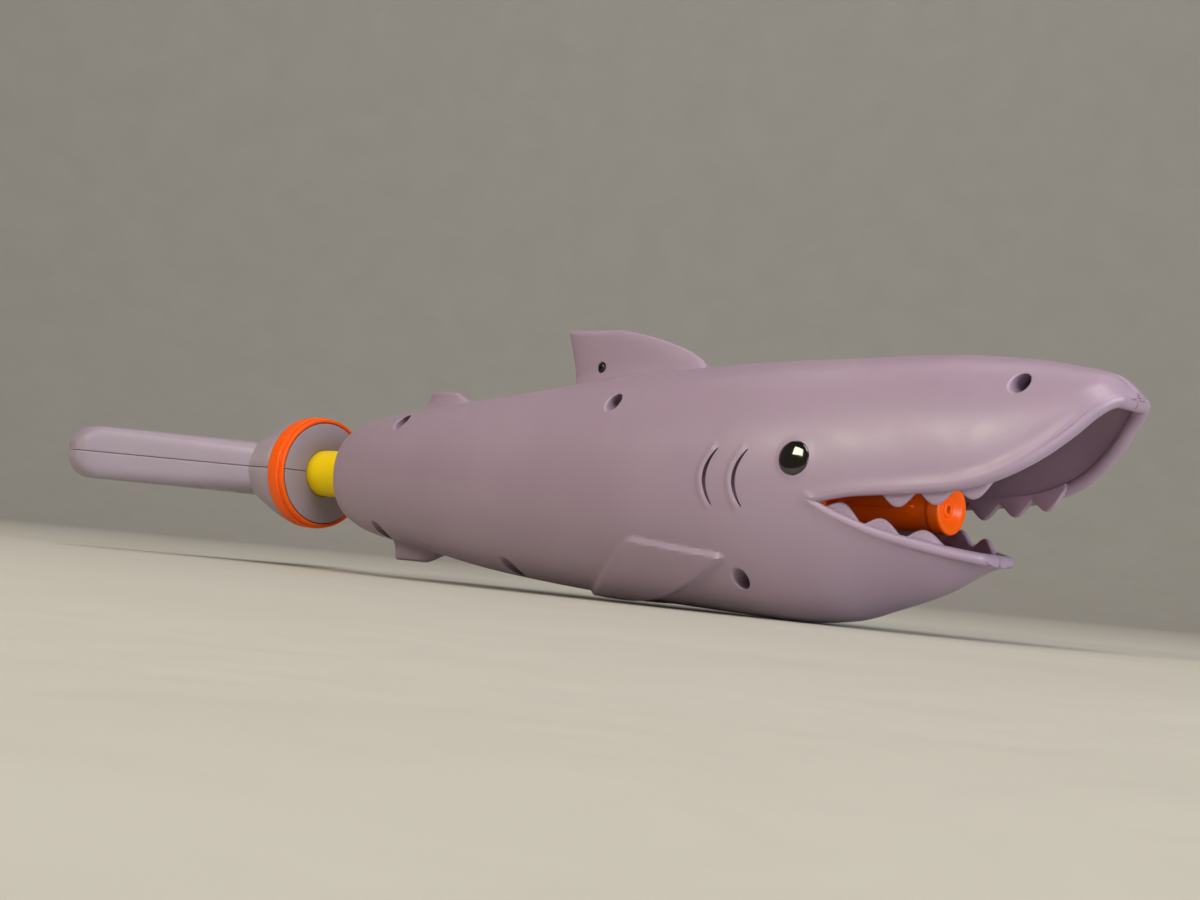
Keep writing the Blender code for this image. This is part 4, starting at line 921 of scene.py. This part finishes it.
def eyes():
    """Domed glossy eyes with a rounded edge and a peg through the shell's wall."""
    profile = [(-EYE_PEG_LENGTH, 0), (-EYE_PEG_LENGTH, EYE_PEG_RADIUS), (-EYE_SINK, EYE_PEG_RADIUS),
               (-EYE_SINK, EYE_RADIUS)]
    steps = 24
    for i in range(steps + 1):
        angle = math.pi / 2 * i / steps
        profile.append((EYE_DOME * math.sin(angle), EYE_RADIUS * math.cos(angle)))
    profile[-1] = (EYE_DOME, 0)
    for node, side in (("eye_right", -1), ("eye_left", 1)):
        place = eye_place(side) @ Matrix.Rotation(-math.pi / 2, 4, "Y")
        finish(turned(node, profile), node + "_gloss", node, "body", "eye_gloss", place)


def screw(name, reach, head, radius=HEAD_RADIUS):
    """Pan-headed screw along x with a cross recess. Its head's underside is at 0."""
    profile = [(-head, 0), (-head, radius * 0.5), (-head * 0.86, radius * 0.8),
               (-head * 0.45, radius * 0.98), (0, radius), (0, SHANK_RADIUS),
               (reach - SHANK_RADIUS, SHANK_RADIUS), (reach, 0)]
    arm, half, depth = radius * 0.62, radius * 0.13, head * 0.6
    cross = boolean(block("slot_y", (-head - MM, -arm, -half), (depth - head, arm, half)),
                    [block("slot_z", (-head - MM, -half, -arm), (depth - head, half, arm))], "UNION")
    return boolean(turned(name, profile, 48), [cross], "DIFFERENCE")


def body_screws():
    """Screws that hold the shells together, from the right side."""
    for i, (x, z, seat, reach, head, radius) in enumerate(screw_places()):
        node = f"body_screw_{i + 1}"
        place = Matrix.Translation((x, -seat - FIT, z)) @ Matrix.Rotation(math.pi / 2, 4, "Z")
        made = screw(node, seat + reach, head, radius)
        finish(made, node + "_head", node, "body", "screw_steel", place, SCREW_SHARP_ANGLE)


def tail_screws():
    """Screws that hold the tail's halves together, from below."""
    for i, (x, y) in enumerate(TAIL_SCREWS):
        node = f"tail_screw_{i + 1}"
        place = Matrix.Translation((-x, y, -TAIL_SCREW_SEAT - FIT)) @ Matrix.Rotation(-math.pi / 2, 4, "Y")
        made = screw(node, TAIL_SCREW_SEAT + TAIL_SCREW_REACH, HEAD_HEIGHT)
        finish(made, node + "_head", node, "plunger", "screw_steel", place, SCREW_SHARP_ANGLE)


def nozzle():
    """Spout with a rounded front rim, a dished face, a boss round the jet hole and two thin ribs."""
    tip = NOZZLE_TIP_X
    neck = tip - NOZZLE_LENGTH
    flange = neck - NOZZLE_FLANGE
    rim = NOZZLE_RADIUS + NOZZLE_RIM
    dish = tip - NOZZLE_DISH_DEPTH
    face = dish - NOZZLE_FACE
    plug = PLUG_RADIUS - PLUG_STEP
    profile = [(flange - NOZZLE_PLUG, NOZZLE_BORE_RADIUS), (flange - NOZZLE_PLUG, plug),
               (flange, plug), (flange, BARREL_RADIUS), (neck, BARREL_RADIUS),
               (neck, NOZZLE_RADIUS + NOZZLE_SHOULDER), (neck + NOZZLE_SHOULDER, NOZZLE_RADIUS),
               (tip - NOZZLE_RIM_WIDTH - NOZZLE_RIM, NOZZLE_RADIUS), (tip - NOZZLE_RIM_WIDTH, rim),
               (tip, rim), (tip, NOZZLE_DISH_RADIUS), (dish, NOZZLE_BOSS_RADIUS),
               (dish + NOZZLE_BOSS_HEIGHT, NOZZLE_BOSS_RADIUS - FIT),
               (dish + NOZZLE_BOSS_HEIGHT, JET_RADIUS), (face, JET_RADIUS),
               (face - NOZZLE_FACE, NOZZLE_BORE_RADIUS)]
    spout = turned("nozzle", rounded(profile, NOZZLE_ROUNDING), ring=True)
    half = NOZZLE_RIB_WIDTH / 2
    ribs = []
    for side in (-1, 1):
        y = side * (NOZZLE_RADIUS + NOZZLE_RIB_HEIGHT - half)
        start, end = Vector((neck + NOZZLE_SHOULDER, y, 0)), Vector((neck + NOZZLE_RIB_LENGTH, y, 0))
        ribs.append(tube(f"nozzle_rib_{side}", [start.lerp(end, i / 4) for i in range(5)], [half] * 5))
    spout = boolean(spout, [joined("ribs", ribs)], "UNION")
    finish(spout, "nozzle_spout", "nozzle", "body", "pump_orange")


def rod():
    """Smooth tube from the tail's socket to the piston."""
    collar = ROD_RADIUS + ROD_COLLAR_HEIGHT
    collar_rear = -ROD_COLLAR_X - ROD_COLLAR_WIDTH
    profile = [(-ROD_SOCKET, ROD_BORE_RADIUS), (-ROD_SOCKET, ROD_RADIUS), (collar_rear, ROD_RADIUS),
               (collar_rear, collar), (-ROD_COLLAR_X, collar), (-ROD_COLLAR_X, ROD_RADIUS),
               (ROD_FRONT_X, ROD_RADIUS), (ROD_FRONT_X, ROD_BORE_RADIUS)]
    made = turned("rod", rounded(profile, ROD_ROUNDING), ring=True)
    finish(made, "rod_tube", "plunger_rod", "plunger", "rod_yellow")


def ring():
    """Coloured band with a thin front lip and a groove behind it, all with soft edges."""
    outer, inner = RING_RADIUS, RING_RADIUS - RING_THICKNESS
    lip_top = outer - RING_EDGE
    groove = lip_top - RING_GROOVE_DEPTH
    band = -RING_LIP_WIDTH - RING_GROOVE_WIDTH
    profile = [(0, inner), (0, lip_top), (-RING_LIP_WIDTH, lip_top), (-RING_LIP_WIDTH, groove),
               (band, groove), (band, outer), (-RING_WIDTH, outer), (-RING_WIDTH, inner)]
    made = turned("ring", rounded(profile, RING_ROUNDING), RING_SIDES, ring=True)
    finish(made, "ring_band", "tail_ring", "plunger", "ring_orange")


def tail_edges(y):
    """Leading edge, trailing edge and half thickness of the tail fin at y."""
    share = abs(y) / TAIL_HALF_SPAN
    leading = -smooth([(0, FIN_START_X), (0.17, 1.17 * FIN_START_X), (0.32, 0.27 * TAIL_LENGTH),
                       (0.9, 0.78 * TAIL_LENGTH), (0.97, 0.84 * TAIL_LENGTH),
                       (1, 0.9 * TAIL_LENGTH)], share)
    trailing = -TAIL_LENGTH * smooth([(0, 0.707), (0.3, 0.744), (0.7, 0.89), (0.93, 1), (1, 0.976)], share)
    rounding = max(share - TAIL_TIP_START, 0) / (1 - TAIL_TIP_START)
    half = TAIL_HALF_THICKNESS * math.sqrt(1 - TAIL_TIP_THINNING * rounding ** 2)
    return float(leading), float(trailing), half


def parting(z):
    """Depth of the rounded edges where the tail's halves meet."""
    return SEAM_DEPTH * np.clip(1 - np.abs(z) / SEAM_REACH, 0, 1) ** 2


def tail_fin(name, inset, steps, sides):
    """The tail fin's form, lofted from tip to tip."""
    angles = [360 * i / sides for i in range(sides)]
    close = [0.4, 1, 1.8, 2.8, 4]
    angles = [a for a in angles if min(a, abs(a - 180), 360 - a) > 4.5]
    angles += [0, 180] + [(seam + sign * a) % 360 for seam in (0, 180) for sign in (-1, 1) for a in close]
    angles = np.radians(sorted(angles))
    c, s = np.cos(angles), np.sin(angles)
    reach = TAIL_HALF_SPAN - inset * 3
    rings = []
    for i in range(2 * steps + 1):
        y = reach * math.sin(math.pi / 2 * (i - steps) / steps)
        leading, trailing, half = tail_edges(y)
        z = (half - inset) * np.copysign(np.abs(s) ** TAIL_EDGE_POWER, s)
        chord = (leading - trailing) / 2 - inset - parting(z)
        x = (leading + trailing) / 2 + chord * np.copysign(np.abs(c) ** TAIL_EDGE_POWER, c)
        rings.append(np.stack((x, np.full_like(x, y), z), axis=-1))
    return loft(name, rings)


def tail_hub():
    """Cup behind the ring that flattens into the fin."""
    start = RING_WIDTH + FIT
    low = TAIL_HALF_THICKNESS - SHELL_WALL / 2
    widths = [(0, 0.98), (0.05, 1), (0.22, 1), (0.44, 1), (0.7, 0.96), (1, 0.75)]
    heights = [(0, 1), (0.05, 0.99), (0.22, 0.87), (0.44, 0.63), (0.7, 0.3), (1, 0)]
    angles = np.arange(ROUND) * 2 * math.pi / ROUND
    rings = []
    for i in range(31):
        share = i / 30
        x = -start - share * HUB_LENGTH
        height = low + smooth(heights, share) * (HUB_RADIUS * 0.985 - low)
        z = height * np.sin(angles)
        y = (smooth(widths, share) * HUB_RADIUS - parting(z)) * np.cos(angles)
        rings.append(np.stack((np.full_like(y, x), y, z), axis=-1))
    return loft("tail_hub", rings)


def tail_form():
    """The tail's outer form with its hollow, socket, posts and holes."""
    spigot_end = RING_WIDTH + FIT + TAIL_WALL
    spigot_radius = RING_RADIUS - RING_THICKNESS - FIT
    spigot = [(0, 0), (0, spigot_radius), (-spigot_end, spigot_radius), (-spigot_end, 0)]
    spigot = turned("tail_spigot", rounded(spigot, ROD_ROUNDING, False))
    form = boolean(tail_fin("tail_outside", 0, 44, 72), [tail_hub(), spigot], "UNION")
    hollow_radius = spigot_radius - TAIL_WALL
    hollow_end = RING_WIDTH + 0.8 * HUB_LENGTH
    hollow = [(-TAIL_FACE, 0), (-TAIL_FACE, hollow_radius), (-spigot_end, hollow_radius),
              (-hollow_end, TAIL_HALF_THICKNESS - 1.5 * TAIL_WALL), (-hollow_end, 0)]
    void = boolean(tail_fin("tail_void", TAIL_WALL, 12, 36), [turned("hub_hollow", hollow, 48)], "UNION")
    socket_end = ROD_SOCKET + FIT
    collar_radius = ROD_RADIUS + ROD_COLLAR_HEIGHT + FIT
    socket = rod_between("socket", (TAIL_FACE, 0, 0), (-socket_end - SOCKET_WALL, 0, 0),
                         collar_radius + SOCKET_WALL)
    height = 3 * TAIL_HALF_THICKNESS
    posts = [rod_between(f"tail_post_{i}", (-x, y, -height), (-x, y, height), POST_RADIUS)
             for i, (x, y) in enumerate(TAIL_SCREWS)]
    void = boolean(void, [socket, joined("tail_posts", posts)], "DIFFERENCE")
    rod_space = rod_between("rod_space", (TAIL_FACE, 0, 0), (-socket_end, 0, 0), ROD_RADIUS + FIT, ROUND)
    collar_space = rod_between("collar_space", (-ROD_COLLAR_X + FIT, 0, 0),
                               (-ROD_COLLAR_X - ROD_COLLAR_WIDTH - FIT, 0, 0), collar_radius, ROUND)
    wide, narrow = [], []
    for i, (x, y) in enumerate(TAIL_SCREWS):
        wide.append(rod_between(f"tail_counterbore_{i}", (-x, y, -TAIL_SCREW_SEAT), (-x, y, -CLEAR),
                                HEAD_RADIUS + FIT))
        narrow.append(rod_between(f"tail_hole_{i}", (-x, y, -TAIL_SCREW_SEAT - FIT),
                                  (-x, y, TAIL_SCREW_REACH + SCREW_END_GAP), SHANK_RADIUS + FIT))
    cuts = [void, rod_space, collar_space, joined("tail_wide", wide), joined("tail_narrow", narrow)]
    return boolean(form, cuts, "DIFFERENCE")


def tail_halves():
    """The two shells of the tail, parted at half their thickness."""
    upper = tail_form()
    lower = new_object("tail_lower", upper.data.copy())
    for half, name, low, high in ((upper, "upper", -CLEAR, FIT / 2), (lower, "lower", -FIT / 2, CLEAR)):
        other_half = block("other_half", (-CLEAR, -CLEAR, low), (CLEAR, CLEAR, high))
        half = boolean(half, [other_half], "DIFFERENCE")
        finish(half, f"tail_{name}_skin", f"tail_half_{name}", "plunger", "tail_plastic")


# Finishes

def plastic(name, color, light, roughness, subsurface, grain=0.12, specular=0.5, others=None):
    """Moulded plastic: slow colour drift, fine grain, faint scuffs and a little light under its skin."""
    made = bpy.data.materials.new(name)
    made.use_nodes = True
    tree = made.node_tree
    shader = tree.nodes["Principled BSDF"]
    place = tree.nodes.new("ShaderNodeTexCoord").outputs["Object"]

    def add(kind, fed, socket, values):
        """Node with its values, fed at one socket."""
        node = tree.nodes.new(kind)
        for key, value in values.items():
            node.inputs[key].default_value = value
        tree.links.new(fed, node.inputs[socket])
        return node

    def noise(scale, detail, distortion=0):
        values = {"Scale": scale, "Detail": detail, "Distortion": distortion}
        return add("ShaderNodeTexNoise", place, "Vector", values).outputs["Fac"]

    drift = add("ShaderNodeValToRGB", noise(14, 4, 0.4), "Fac", {})
    for element, position, shade in zip(drift.color_ramp.elements, (0.35, 0.68), (color, light)):
        element.position = position
        element.color = (*shade, 1)
    gloss = add("ShaderNodeMapRange", noise(60, 5, 1.2), "Value", {
        "From Min": 0.3, "From Max": 0.75, "To Min": roughness - 0.05, "To Max": roughness + 0.09})
    ripple = add("ShaderNodeBump", noise(45, 1), "Height", {"Strength": 0.25, "Distance": 0.3 * MM})
    bump = add("ShaderNodeBump", noise(900, 2), "Height", {"Strength": grain, "Distance": 0.15 * MM})
    tree.links.new(ripple.outputs["Normal"], bump.inputs["Normal"])
    tree.links.new(drift.outputs["Color"], shader.inputs["Base Color"])
    tree.links.new(gloss.outputs["Result"], shader.inputs["Roughness"])
    tree.links.new(bump.outputs["Normal"], shader.inputs["Normal"])
    values = {"Subsurface Weight": subsurface, "Subsurface Radius": (1, 0.35, 0.9),
              "Subsurface Scale": 1.6 * MM, "IOR": 1.49, "Specular IOR Level": specular, **(others or {})}
    for key, value in values.items():
        shader.inputs[key].default_value = value
    return made


# Each finish: colours, roughness, light under the skin, grain and sheen
MATERIALS = {
    "body_plastic": plastic("purple plastic", (0.325, 0.232, 0.3), (0.352, 0.256, 0.326), 0.36, 0.18),
    "tail_plastic": plastic("worn purple plastic", (0.3, 0.235, 0.29), (0.37, 0.31, 0.355), 0.4, 0.15),
    "pump_orange": plastic("orange plastic", (0.93, 0.1, 0.002), (0.96, 0.125, 0.003), 0.28, 0.1,
                           0.06, 0.22),
    "rod_yellow": plastic("yellow plastic", (0.88, 0.61, 0.001), (0.94, 0.68, 0.003), 0.3, 0.1,
                          0.06, 0.25),
    "piston_white": plastic("white plastic", (0.74, 0.74, 0.71), (0.8, 0.8, 0.78), 0.4, 0.1),
    "seal_rubber": plastic("black rubber", (0.018, 0.018, 0.018), (0.03, 0.03, 0.03), 0.62, 0, grain=0.3),
    "eye_gloss": plastic("eye gloss", (0.004, 0.0035, 0.003), (0.012, 0.009, 0.005), 0.06, 0, grain=0.02,
                         others={"Coat Weight": 1, "Coat Roughness": 0.02}),
    # The screws' near-black colour is painted shade: it darkens the heads so that their deep holes read as
    # shaded.
    "screw_steel": plastic("blackened steel", (0.05, 0.05, 0.055), (0.075, 0.075, 0.08), 0.38, 0, grain=0.3,
                           others={"Metallic": 1}),
}
MATERIALS["ring_orange"] = MATERIALS["pump_orange"]
CARRIED = {
    "barrel": "pump_orange",
    "barrel_gland": "pump_orange",
    "piston_head": "piston_white",
    "piston_ring_front": "seal_rubber",
    "piston_ring_rear": "seal_rubber",
    "nozzle_seal": "seal_rubber",
}


def carried_nodes():
    """Better finishes on the CAD nodes that are shown as they are."""
    for node, slot in CARRIED.items():
        mesh = NODES[node].data
        mesh.materials.clear()
        mesh.materials.append(MATERIALS[slot])


# Stage, light and camera

def stage():
    """Seamless pale floor that curves up into a wall all round, far from the object."""
    bend = WALL_RADIUS - FLOOR_RADIUS
    turn = [math.pi / 2 * i / 24 for i in range(25)]
    curve = [(bend * (1 - math.cos(a)), FLOOR_RADIUS + bend * math.sin(a)) for a in turn]
    floor = turned("studio_floor", [(0, 0), (0, 0.6), *curve, (WALL_HEIGHT, WALL_RADIUS)])
    floor.data.transform(Matrix.Rotation(-math.pi / 2, 4, "Y"))
    floor.data.shade_smooth()
    WORK.objects.unlink(floor)
    bpy.context.scene.collection.objects.link(floor)
    paint = plastic("floor paint", (0.5, 0.48, 0.42), (0.52, 0.5, 0.44), 0.6, 0, grain=0.02)
    floor.data.materials.append(paint)


def area_light(name, place, target, size, watts, color, spread=180):
    """Soft light that the camera doesn't see."""
    data = bpy.data.lights.new(name, "AREA")
    data.shape = "RECTANGLE"
    data.size, data.size_y = size
    data.energy = watts
    data.color = color
    data.spread = math.radians(spread)
    made = bpy.data.objects.new(name, data)
    bpy.context.scene.collection.objects.link(made)
    made.location = place
    made.rotation_mode = "QUATERNION"
    made.rotation_quaternion = (Vector(target) - Vector(place)).to_track_quat("-Z", "Y")
    made.visible_camera = False


def lights():
    """Broad lights over and before the nose, a window's sheen on the flank, and fill for mouth and wall."""
    middle = (0.03, 0, 0.04)
    mouth = BODY_PLACE + Vector((MOUTH_CORNER_X + 0.04, 0, 0))
    area_light("top_light", (0.7, -0.6, 1.5), middle, (1.2, 1), 20, (1, 0.91, 0.87))
    area_light("nose_light", (1.7, -0.25, 0.35), middle, (0.9, 0.6), 21, (0.8, 0.9, 0.95))
    area_light("window_light", (-0.34, -1.35, 0.74), middle, (0.55, 0.36), 8, (1, 0.98, 0.78))
    near = mouth + Vector((0.13, -0.16, 0.01))
    area_light("mouth_light", near, mouth, (0.08, 0.05), 0.0105, (0.9, 0.85, 1), 70)
    area_light("wall_light", (-0.6, 0.9, 2.2), (-1.9, 2.2, 0.3), (2.4, 1.2), 23.5, (1, 0.95, 0.98))
    world = bpy.data.worlds.new("studio air")
    bpy.context.scene.world = world
    world.use_nodes = True
    background = world.node_tree.nodes["Background"]
    background.inputs["Color"].default_value = (1, 0.98, 0.95, 1)
    background.inputs["Strength"].default_value = 0.04
    bpy.context.scene.view_settings.view_transform = "Standard"


def camera():
    """Camera at the photograph's viewing angle."""
    data = bpy.data.cameras.new("camera")
    data.lens = CAMERA_LENS
    data.sensor_width = CAMERA_SENSOR
    data.clip_start = 5 * MM
    made = bpy.data.objects.new("camera", data)
    bpy.context.scene.collection.objects.link(made)
    forward = CAMERA_FORWARD.normalized()
    right = forward.cross(CAMERA_UP).normalized()
    up = right.cross(forward)
    turn = Matrix((right, up, -forward)).transposed().to_4x4()
    made.matrix_world = Matrix.Translation(TAIL_PLACE + CAMERA_PLACE) @ turn
    bpy.context.scene.camera = made


camera()
stage()
lights()
shell("shell_right", -1)
shell("shell_left", 1)
eyes()
body_screws()
nozzle()
rod()
ring()
tail_halves()
tail_screws()
carried_nodes()
bpy.data.collections.remove(WORK)
